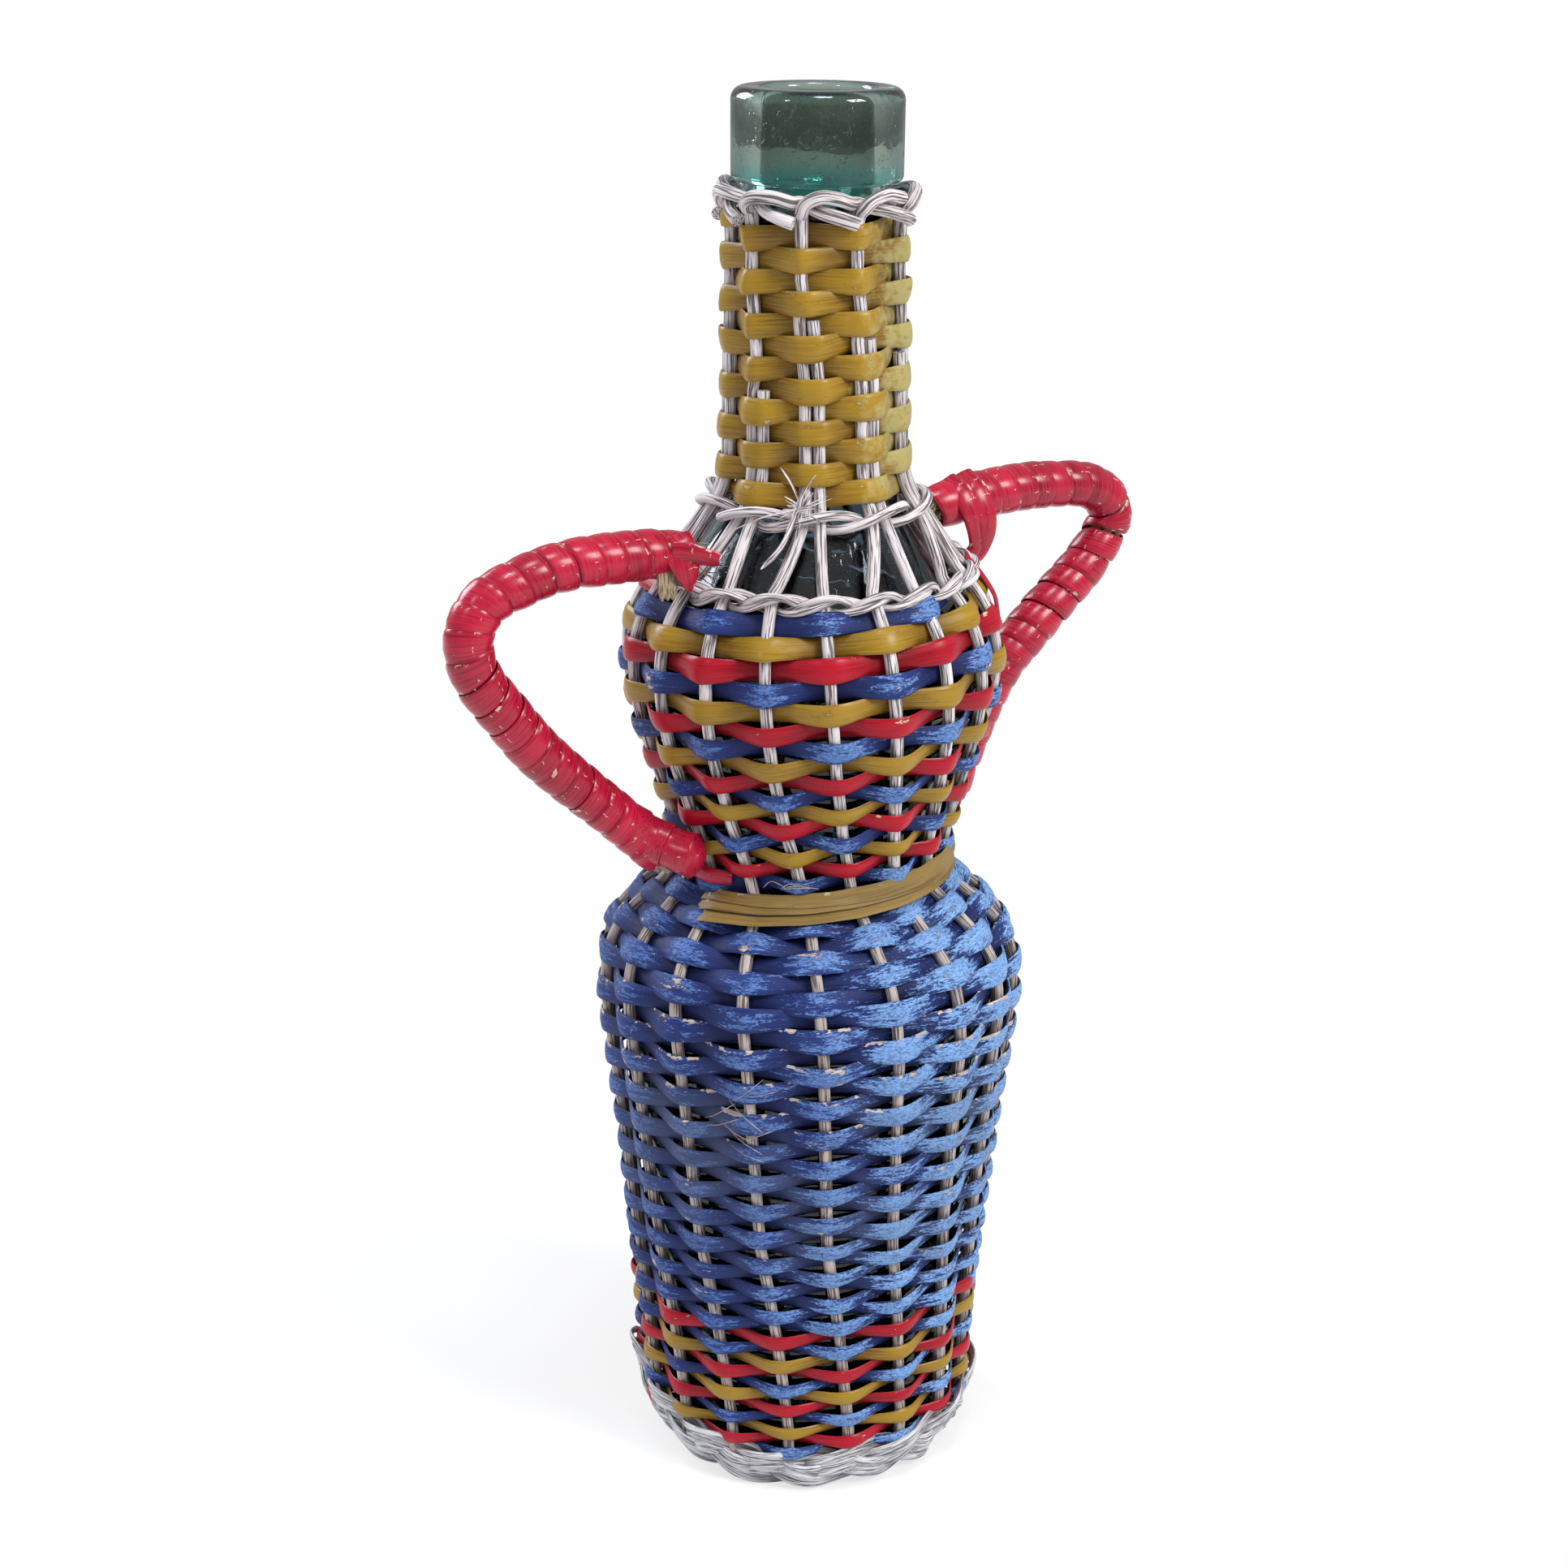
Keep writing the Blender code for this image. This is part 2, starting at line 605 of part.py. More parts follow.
def path_frame(points, at):
    """Points of a path of chords at given lengths, with the unit directions across it."""
    lengths = path_lengths(points)
    step = np.diff(points, axis=0)
    step /= np.hypot(step[:, 0], step[:, 1])[:, None]
    across = np.stack([-step[:, 1], step[:, 0]], axis=1)
    across = np.vstack([across[:1], across[:-1] + across[1:], across[-1:]])
    across /= np.hypot(across[:, 0], across[:, 1])[:, None]
    place_at = np.stack([np.interp(at, lengths, points[:, k]) for k in (0, 1)], axis=1)
    side = np.stack([np.interp(at, lengths, across[:, k]) for k in (0, 1)], axis=1)
    return place_at, side / np.hypot(side[:, 0], side[:, 1])[:, None]


def free_span(points, radius, side):
    """First and last length at which a round end of this radius stays clear of the wall."""
    at = np.linspace(0.0, path_lengths(points)[-1], SPAN_SAMPLES)
    centre, across = path_frame(points, at)
    free = np.ones(len(at), bool)
    for shift in (-radius, 0.0, radius):
        free &= np.array([x >= wall_reach(z, side) + CLEAR for x, z in centre + across * shift])
    half = len(at) // 2
    return at[np.argmax(free[:half])], at[len(at) - 1 - np.argmax(free[::-1][:half])]


def handle(side, word, core_material, wrap_material):
    """One handle: a cane core and the flat strip wound round it."""
    curve = handle_curve(side)
    lengths = path_lengths(curve)
    first, last = free_span(curve, HANDLE_CORE_R, side)
    inner = lengths[(lengths > first + STRAND_DIA) & (lengths < last - STRAND_DIA)]
    core = path_frame(curve, np.concatenate([[first], inner, [last]]))[0]
    cane(f"handle_core_{word}", [(side * x, 0.0, z) for x, z in core], HANDLE_CORE_R, core_material)
    first, last = free_span(curve, HANDLE_OUTER_R, side)
    pitch = (last - first) / (HANDLE_TURNS + 1)
    steps = np.arange(HANDLE_TURNS * HANDLE_TURN_SIDES + 1) / HANDLE_TURN_SIDES
    edges = []
    for shift in (HANDLE_TURN_GAP / 2, pitch - HANDLE_TURN_GAP / 2):
        centre, across = path_frame(curve, first + shift + pitch * steps)
        out = HANDLE_WRAP_R * np.cos(TAU * steps)
        sideways = HANDLE_WRAP_R * np.sin(TAU * steps)
        edge = centre + across * out[:, None]
        edges.append([(side * x, y, z) for (x, z), y in zip(edge, sideways)])
    report_gap(f"handle_wrap_{word}", edges[0], edges[1], HANDLE_TURN_SIDES)
    strip(f"handle_wrap_{word}", edges[0], edges[1], HANDLE_STRIP_THICK, wrap_material)


for old in list(bpy.data.objects):
    bpy.data.objects.remove(old, do_unlink=True)

PART = collection("wicker_demijohn")

glass = paint("Green glass", (0.10, 0.30, 0.27), 0.05, transmission=0.9)
bare_cane = paint("Bare cane", (0.62, 0.57, 0.55), 0.65)
white_cane = paint("Whitened cane", (0.78, 0.76, 0.72), 0.6)
ochre_cane = paint("Ochre cane", (0.40, 0.27, 0.03), 0.45)
red_cane = paint("Red cane", (0.60, 0.02, 0.04), 0.4)
blue_cane = paint("Blue cane", (0.05, 0.13, 0.45), 0.5)
core_cane = paint("Core cane", (0.50, 0.38, 0.24), 0.75)
base_cane = paint("Base cane", (0.55, 0.47, 0.36), 0.75)

glass_bottle(glass)
foot_braid(white_cane)
base_mat(base_cane)
for number in range(STAKE_COUNT):
    stake(number, bare_cane)

# The strips' lanes, from the lowest up
skirt_lanes = (("ochre", ochre_cane), ("blue", blue_cane), ("red", red_cane))
for lane_index, (colour, finish) in enumerate(skirt_lanes):
    weaver(f"skirt_band_{colour}", finish, SKIRT, lane_index, last_row=SKIRT_COLOUR_ROWS)
    above = f"skirt_weaver_blue_{lane_index + 1}"
    weaver(above, blue_cane, SKIRT, lane_index, first_row=SKIRT_COLOUR_ROWS)
bust_lanes = (("blue", blue_cane), ("red", red_cane), ("ochre", ochre_cane))
for lane_index, (colour, finish) in enumerate(bust_lanes):
    weaver(f"bust_weaver_{colour}", finish, BUST, lane_index)
neck_weaver(ochre_cane)
waist_wrap(ochre_cane)
low_ring(bare_cane)
high_ring(bare_cane)
handle(-1, "left", core_cane, red_cane)
handle(1, "right", core_cane, red_cane)
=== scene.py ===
# %% [markdown]
# # A glass demijohn in a painted wicker coat
#
# The bottle wears a basket that was woven straight onto it: bare stakes run up the glass, flat
# painted strips go in and out of them, two twined rings hold the open shoulder, and two bent
# canes wrapped in red make the handles. Each of these is built below as a surface worked out
# with numpy, in metres, with +Z up and the middle of the foot at the origin.

# %% Load the frame
import json
import math

import bpy
import numpy as np
from mathutils import Matrix, Vector

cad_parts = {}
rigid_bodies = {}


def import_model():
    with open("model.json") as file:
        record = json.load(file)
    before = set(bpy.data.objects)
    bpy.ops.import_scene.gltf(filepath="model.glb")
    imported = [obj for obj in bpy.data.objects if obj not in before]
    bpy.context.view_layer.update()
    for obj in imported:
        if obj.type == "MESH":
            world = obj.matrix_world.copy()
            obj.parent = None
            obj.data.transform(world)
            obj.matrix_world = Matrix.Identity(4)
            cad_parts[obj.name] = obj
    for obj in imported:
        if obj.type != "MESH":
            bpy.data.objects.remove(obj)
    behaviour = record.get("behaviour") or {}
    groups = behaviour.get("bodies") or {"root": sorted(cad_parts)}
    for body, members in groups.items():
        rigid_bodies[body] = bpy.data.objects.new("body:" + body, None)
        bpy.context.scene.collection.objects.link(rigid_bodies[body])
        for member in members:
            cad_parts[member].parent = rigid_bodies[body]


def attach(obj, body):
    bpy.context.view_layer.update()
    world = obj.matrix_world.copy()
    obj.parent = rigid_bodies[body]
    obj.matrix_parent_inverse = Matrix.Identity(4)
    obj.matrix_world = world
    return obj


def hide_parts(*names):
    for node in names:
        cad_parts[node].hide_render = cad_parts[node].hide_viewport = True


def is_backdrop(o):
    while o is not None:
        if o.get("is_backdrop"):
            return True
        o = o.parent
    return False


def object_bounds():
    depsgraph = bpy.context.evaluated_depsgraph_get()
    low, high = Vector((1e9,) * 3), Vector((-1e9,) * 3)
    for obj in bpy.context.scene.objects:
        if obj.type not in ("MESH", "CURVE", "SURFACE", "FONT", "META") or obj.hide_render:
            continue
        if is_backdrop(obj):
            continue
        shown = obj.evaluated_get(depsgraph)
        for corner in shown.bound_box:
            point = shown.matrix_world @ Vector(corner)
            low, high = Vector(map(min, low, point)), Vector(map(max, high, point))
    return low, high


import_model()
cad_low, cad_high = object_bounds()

MM = 0.001
TAU = math.tau
rng = np.random.default_rng(19)

print("CAD box, mm:", [round((b - a) / MM, 1) for a, b in zip(cad_low, cad_high)])

# %% [markdown]
# ## The photograph's camera
#
# The picture was taken from close by, looking a little down. The ellipses of the lip and of the
# foot differ in how open they are, and that difference gives the distance. A camera that is
# close makes the foot look narrower than the shoulder, so this is settled before any shape.

# %% Camera
PICTURE_SIDE = 1932
FOCAL_PIXELS = 3500.0
SENSOR_WIDTH = 36.0
CAMERA_DISTANCE = 720 * MM
CAMERA_HEIGHT = 426 * MM
CAMERA_AZIMUTH = math.radians(-33.0)
CAMERA_PITCH = math.radians(18.3)
CAMERA_YAW = math.radians(0.56)
CAMERA_ROLL = math.radians(0.47)


def add_camera():
    """A camera on a circle round the bottle, turned down by the pitch, then yawed and rolled."""
    lens = bpy.data.cameras.new("photo_camera")
    lens.sensor_width = SENSOR_WIDTH
    lens.lens = FOCAL_PIXELS / PICTURE_SIDE * SENSOR_WIDTH
    lens.clip_start = 0.01
    camera = bpy.data.objects.new("photo_camera", lens)
    bpy.context.scene.collection.objects.link(camera)
    camera.location = (CAMERA_DISTANCE * math.sin(CAMERA_AZIMUTH),
                       -CAMERA_DISTANCE * math.cos(CAMERA_AZIMUTH), CAMERA_HEIGHT)
    heading = Matrix.Rotation(CAMERA_AZIMUTH + CAMERA_YAW, 3, "Z")
    pitch = Matrix.Rotation(math.pi / 2 - CAMERA_PITCH, 3, "X")
    roll = Matrix.Rotation(CAMERA_ROLL, 3, "Z")
    camera.rotation_euler = (heading @ pitch @ roll).to_euler("XYZ")
    bpy.context.scene.camera = camera
    print("lens, mm:", round(lens.lens, 1), "camera at, mm:", [round(v / MM) for v in camera.location])


add_camera()

# %% [markdown]
# ## The line that the wicker follows
#
# Everything woven follows one curve in the plane of radius and height: the middle of the
# stakes. It leans out from the foot to the hips, turns in sharply to the waist, swells to the
# bust, runs down the open shoulder like a cone and then up the neck. The curve is made of
# short eased spans, smoothed a little, and every strip is placed by its length along it.

# %% Sizes of the wicker
STAKE_RADIUS = 1.58 * MM
STRIP_THICK = 1.0 * MM
STAKE_COUNT = 19
GROUP_COUNT = 9
LINE_FOOT = 10.0 * MM
FOOT_TOP = 18.3 * MM
HIP = 131.3 * MM
WAIST = 168.3 * MM
BUST = 225.3 * MM
LOW_RING = 249.3 * MM
HIGH_RING = 267.3 * MM
NECK_FOOT = 281.3 * MM
NECK_TOP = 339.3 * MM
LIP_BOTTOM = 346.6 * MM
LIP_TOP = cad_high[2]
LINE_FOOT_RADIUS = 44.3 * MM
FOOT_RADIUS = 44.8 * MM
HIP_RADIUS = 55.4 * MM
WAIST_RADIUS = 35.6 * MM
BUST_RADIUS = 48.3 * MM
LOW_RING_RADIUS = 37.6 * MM
HIGH_RING_RADIUS = 25.6 * MM
NECK_FOOT_RADIUS = 22.5 * MM
NECK_RADIUS = 21.2 * MM


def smooth(t):
    """Ease from 0 to 1 with level ends: 3t squared minus 2t cubed."""
    return t * t * (3.0 - 2.0 * t)


SPANS = (
    (LINE_FOOT, LINE_FOOT_RADIUS, FOOT_TOP, FOOT_RADIUS, lambda t: t),
    (FOOT_TOP, FOOT_RADIUS, HIP, HIP_RADIUS, lambda t: t ** 1.3),
    (HIP, HIP_RADIUS, WAIST, WAIST_RADIUS, lambda t: smooth(t * t)),
    (WAIST, WAIST_RADIUS, BUST, BUST_RADIUS, smooth),
    (BUST, BUST_RADIUS, LOW_RING, LOW_RING_RADIUS, lambda t: t ** 2.3),
    (LOW_RING, LOW_RING_RADIUS, HIGH_RING, HIGH_RING_RADIUS, lambda t: t),
    (HIGH_RING, HIGH_RING_RADIUS, NECK_FOOT, NECK_FOOT_RADIUS, lambda t: 1 - (1 - t) ** 2.5),
    (NECK_FOOT, NECK_FOOT_RADIUS, NECK_TOP, NECK_RADIUS, lambda t: t),
)


def wicker_line(step=0.5 * MM, blur=3):
    """Radius and height of the stakes' middle: the eased spans, sampled evenly and blurred."""
    radii = []
    heights = []
    for z0, r0, z1, r1, ease in SPANS:
        t = np.linspace(0.0, 1.0, max(3, round((z1 - z0) / step)), endpoint=False)
        radii.append(r0 + (r1 - r0) * ease(t))
        heights.append(z0 + (z1 - z0) * t)
    r = np.append(np.concatenate(radii), NECK_RADIUS)
    z = np.append(np.concatenate(heights), NECK_TOP)
    for _ in range(blur):
        r[1:-1] = (r[:-2] + 2 * r[1:-1] + r[2:]) / 4
    return r, z


LINE_R, LINE_Z = wicker_line()
LINE_S = np.concatenate([[0.0], np.cumsum(np.hypot(np.diff(LINE_R), np.diff(LINE_Z)))])
slope_r = np.gradient(LINE_R, LINE_S)
slope_z = np.gradient(LINE_Z, LINE_S)
slope_size = np.hypot(slope_r, slope_z)
LINE_NR = slope_z / slope_size
LINE_NZ = -slope_r / slope_size


def wall(s, out=0.0):
    """Radius and height at a length along the line, moved out along its normal."""
    nr = np.interp(s, LINE_S, LINE_NR)
    nz = np.interp(s, LINE_S, LINE_NZ)
    return np.interp(s, LINE_S, LINE_R) + out * nr, np.interp(s, LINE_S, LINE_Z) + out * nz


def length_at(z):
    """Length along the line at a height."""
    return float(np.interp(z, LINE_Z, LINE_S))


def around(r, angle, z):
    """Points from cylinder coordinates, as one array."""
    return np.stack([r * np.cos(angle), r * np.sin(angle), z + 0.0 * angle], axis=-1)


S_WAIST = length_at(WAIST)
S_LOW_RING = length_at(LOW_RING)
S_HIGH_RING = length_at(HIGH_RING)
S_NECK_TOP = LINE_S[-1]
print("wicker line, mm:", round(S_NECK_TOP / MM, 1))

# %% [markdown]
# ## Where each stake stands
#
# Nineteen stakes stand round the body, a little wider apart at the front than at the back. No
# hand-made basket keeps them upright: here they run to the right going down, most at the foot,
# and a little to the left at the bust. On the neck there is only room for nine, so they close up
# into pairs, with one group of three. The short stakes of a group end in the neck and one long
# stake goes on to the border.

# %% Stake places
FRONT = math.radians(237.0)
# Turn to the right at a height: millimetres, degrees
LEAN = np.array([(18.3, 24.0), (48, 20.3), (75, 16.0), (105, 14.7), (131.3, 13.6), (150, 12.0),
                 (163, 9.9), (168.3, 7.5), (187.3, 1.6), (205, -1.5), (225.3, -3.6), (249.3, -5.2),
                 (267.3, 0.0), (274, -0.6), (298, -1.5), (315, -6.0), (325, -9.5), (339.3, -10.0)])
# Stakes at the front stand wider apart than at the back: height in mm, share
SPREAD = np.array([(18.3, 0.10), (131.3, 0.10), (168.3, 0.12), (187.3, 0.15), (225.3, 0.03),
                   (249.3, 0.0)])
PAIR_TOPS = np.array([308, 303, 312, 300, 306, 297, 315, 310, 305]) * MM
PAIR_CLOSING = 7 * MM
PAIR_HALF = 1.75 * MM


def lean(s):
    """Turn to the right at a length along the line, read off the table by height."""
    return np.radians(np.interp(np.interp(s, LINE_S, LINE_Z) / MM, LEAN[:, 0], LEAN[:, 1]))


def settle(angle, s):
    """An even place turned by the lean, then pushed away from the front by a share of its sine."""
    turned = angle + lean(s)
    share = np.interp(np.interp(s, LINE_S, LINE_Z) / MM, SPREAD[:, 0], SPREAD[:, 1])
    return turned + share * np.sin(turned - FRONT)


def group_of(stake):
    """The neck group that a stake joins: pairs, and the stakes left over join the last."""
    return min(stake // 2, GROUP_COUNT - 1)


def members(group):
    """The stakes of one neck group."""
    return [stake for stake in range(STAKE_COUNT) if group_of(stake) == group]


GROUP_HOMES = [TAU * np.mean(members(group)) / STAKE_COUNT for group in range(GROUP_COUNT)]
GROUP_HALVES = np.array([(len(members(group)) - 1) * PAIR_HALF for group in range(GROUP_COUNT)])


def group_angle(position):
    """Angle of a neck group before the lean; a fraction lies between two groups."""
    turn, group = np.divmod(position, GROUP_COUNT)
    homes = GROUP_HOMES + [GROUP_HOMES[0] + TAU]
    return TAU * turn + np.interp(group, np.arange(GROUP_COUNT + 1), homes)


def side_of(stake):
    """Place in its group in half steps: -1 and 1 in a pair, and -2, 0, 2 in a three."""
    group = members(group_of(stake))
    return 2 * group.index(stake) - (len(group) - 1)


def stake_angle(stake, s):
    """Angle of a stake along its length: the lean below, its group above the shoulder."""
    group = group_of(stake)
    free = settle(TAU * stake / STAKE_COUNT, s)
    share = np.clip((s - S_LOW_RING) / (S_HIGH_RING - S_LOW_RING), 0.0, 1.0)
    apart = 1.0 - np.clip((s - length_at(PAIR_TOPS[group])) / PAIR_CLOSING, 0.0, 1.0)
    joined = group_angle(group) + lean(s) + side_of(stake) * apart * PAIR_HALF / wall(s)[0]
    return free + (joined - free) * share


print("neck groups:", [len(members(group)) for group in range(GROUP_COUNT)])

# %% [markdown]
# ## Grids become meshes
#
# A swept cane, a woven strip and a thread are all the same thing: a grid of points, round in
# one direction and long in the other. One function turns such a grid into a mesh, closes its
# ends, points its faces outwards and stores three things for the materials: the place on the
# cane in millimetres, how far the cane stands out, and how near the strip's two edges are.

# %% Mesh helpers
# Times a point, this keeps its place in plan and drops its height
IN_PLAN = np.array([1.0, 1.0, 0.0])
SHARP_ANGLE = math.radians(50.0)


def signed_volume(points, quads):
    """Volume inside a closed mesh of quads: positive when the faces point outwards."""
    a, b, c, d = (points[quads[:, k]] for k in range(4))
    return float(np.einsum("ij,ij->", a, np.cross(b, c)) + np.einsum("ij,ij->", a, np.cross(c, d)))


def grid_faces(rows, sides, closed):
    """Quads between neighbouring rows, each row a ring; closed joins the last row to the first."""
    i = np.arange(rows if closed else rows - 1)[:, None]
    j = np.arange(sides)[None, :]
    nxt = (i + 1) % rows
    here = i * sides + j
    right = i * sides + (j + 1) % sides
    up = nxt * sides + j
    corner = nxt * sides + (j + 1) % sides
    return np.stack([here, up, corner, right], axis=-1).reshape(-1, 4)


def skin(name, grids, material, nodes=(), closed=False):
    """One piece from a list of (points, lay, stand, edge): grids of rings, closed at both ends.

    points is rows x sides x 3. lay holds the place on the cane in mm, stand is 0 in a recess
    and 1 on a crest, and edge runs from -1 to 1 across a strip.
    """
    points, quads, ends, lays, stands, edges = [], [], [], [], [], []
    start = 0
    for grid, lay, stand, edge in grids:
        rows, sides = grid.shape[:2]
        flat = grid.reshape(-1, 3)
        faces = grid_faces(rows, sides, closed)
        first = np.arange(sides)
        last = (rows - 1) * sides + first[::-1]
        if signed_volume(flat - flat.mean(axis=0), faces) < 0:
            faces = faces[:, ::-1]
            first, last = first[::-1], last[::-1]
        points.append(flat)
        quads.append(faces + start)
        if not closed:
            ends += [(first + start).tolist(), (last + start).tolist()]
        lays.append(np.broadcast_to(lay, grid.shape).reshape(-1, 3))
        stands.append(np.broadcast_to(stand, grid.shape[:2]).reshape(-1))
        edges.append(np.broadcast_to(edge, grid.shape[:2]).reshape(-1))
        start += len(flat)
    mesh = bpy.data.meshes.new(name)
    mesh.from_pydata(np.concatenate(points), [], np.concatenate(quads).tolist() + ends)
    store(mesh, "lay", np.concatenate(lays))
    store(mesh, "stand", np.concatenate(stands))
    store(mesh, "edge", np.concatenate(edges))
    mesh.shade_smooth()
    mesh.set_sharp_from_angle(angle=SHARP_ANGLE)
    mesh.materials.append(material)
    piece = bpy.data.objects.new(name, mesh)
    bpy.context.scene.collection.objects.link(piece)
    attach(piece, "root")
    if nodes:
        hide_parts(*nodes)
    print(f"{name}: {len(mesh.polygons)} faces")


def store(mesh, name, values):
    """Keep one number or one vector for each point of the mesh."""
    if values.ndim == 2:
        target = mesh.attributes.new(name, "FLOAT_VECTOR", "POINT")
        target.data.foreach_set("vector", values.astype(np.float32).ravel())
    else:
        target = mesh.attributes.new(name, "FLOAT", "POINT")
        target.data.foreach_set("value", values.astype(np.float32))


def unit(v):
    """Vectors made one long."""
    return v / np.linalg.norm(v, axis=-1, keepdims=True)


def lengths_of(path):
    """Length travelled at each point of a path."""
    return np.concatenate([[0.0], np.cumsum(np.linalg.norm(np.diff(path, axis=0), axis=1))])


def read_along(at, length, values):
    """Rows of values that belong to lengths along a path, read at other lengths."""
    return np.stack([np.interp(at, length, values[:, k]) for k in range(values.shape[1])], axis=-1)


def tangents(path, loop=False):
    """Directions along a path; loop joins its end to its start."""
    if loop:
        return unit(np.roll(path, -1, axis=0) - np.roll(path, 1, axis=0))
    return unit(np.gradient(path, axis=0))


def square_to(tangent, outward):
    """Ways out made square to the path: each less its share along the tangent, one long."""
    return unit(outward - tangent * np.einsum("ij,ij->i", outward, tangent)[:, None])


def strip_lay(length, x, depth, along=0.0, across=0.0):
    """Place on a flat strip in mm: along, across and through it, shifted so that strips differ."""
    return np.stack([np.broadcast_to(length[:, None], x.shape) + along, x / MM + across,
                     np.broadcast_to(depth * 0.5, x.shape)], axis=-1)


def cane_grid(path, radius, sides=12, loop=False, flat=1.0, shift=0.0, stand=0.5, wobble=0.04,
              outward=None):
    """A round or flattened cane along a path.

    The ring at each point lies across the path: one axis is the way out from the bottle, made
    square to the path, and the other is square to both. flat squeezes the outward axis. The
    radius wavers slowly along the cane, as a grown cane's does.
    """
    length = lengths_of(path)
    tangent = tangents(path, loop)
    if outward is None:
        outward = path * IN_PLAN
    outward = square_to(tangent, outward)
    side = np.cross(tangent, outward)
    angle = TAU * np.arange(sides) / sides
    phase = rng.uniform(0, TAU, 2)
    waver = 1 + wobble * np.sin(length / (9 * MM) + phase[0]) * np.sin(length / (23 * MM) + phase[1])
    ring_radius = (radius * waver)[:, None, None]
    ring = (outward[:, None, :] * (flat * np.cos(angle))[None, :, None]
            + side[:, None, :] * np.sin(angle)[None, :, None])
    grid = path[:, None, :] + ring * ring_radius
    along = np.broadcast_to((length / MM)[:, None] + shift, grid.shape[:2])
    lay = np.stack([along, ring_radius[..., 0] / MM * np.cos(angle) + shift,
                    ring_radius[..., 0] / MM * np.sin(angle)], axis=-1)
    stands = np.broadcast_to(stand, length.shape)[:, None] * np.ones(sides)
    return grid, lay, stands, 0.0


def curve_through(points, count):
    """A smooth curve through given points: Catmull and Rom's rule, read evenly."""
    p = np.vstack([2 * points[0] - points[1], points, 2 * points[-1] - points[-2]])
    t = (np.arange(24) / 24)[:, None]
    pieces = []
    for a, b, c, d in zip(p, p[1:], p[2:], p[3:]):
        pieces.append(0.5 * (2 * b + (c - a) * t + (2 * a - 5 * b + 4 * c - d) * t ** 2
                             + (3 * b - a - 3 * c + d) * t ** 3))
    dense = np.vstack(pieces + [points[-1:]])
    length = lengths_of(dense)
    return read_along(np.linspace(0.0, length[-1], count), length, dense)


def rounded(count, wide=0.72, deep=0.85):
    """A flat section with round edges: cosine and sine raised to small powers."""
    v = TAU * np.arange(count) / count
    across = np.sign(np.cos(v)) * np.abs(np.cos(v)) ** wide
    depth = np.sign(np.sin(v)) * np.abs(np.sin(v)) ** deep
    return across, depth


# %% [markdown]
# ## What old painted cane looks like
#
# Three things make the finish: the cane's own grain, long dark lines that run with it; the
# paint, which was put on with a dry brush; and damage, where paint has flaked off an edge or
# cracked across a bend. These three are shared by all the colours, so each is a node group,
# fed by the place on the cane that the mesh stores. Besides these, the hollows are darker as
# painted shade, and the right side is paler, partly faded paint and partly painted light.

# %% Node group helpers
def new_group(name, inputs, outputs):
    """An empty shader group with named sockets; inputs map a name to (type, value)."""
    group = bpy.data.node_groups.new(name, "ShaderNodeTree")
    for label, (kind, value) in inputs.items():
        socket = group.interface.new_socket(label, in_out="INPUT", socket_type=kind)
        if value is not None:
            socket.default_value = value
    for label, kind in outputs.items():
        group.interface.new_socket(label, in_out="OUTPUT", socket_type=kind)
    entry = group.nodes.new("NodeGroupInput")
    leave = group.nodes.new("NodeGroupOutput")
    return group, entry, leave


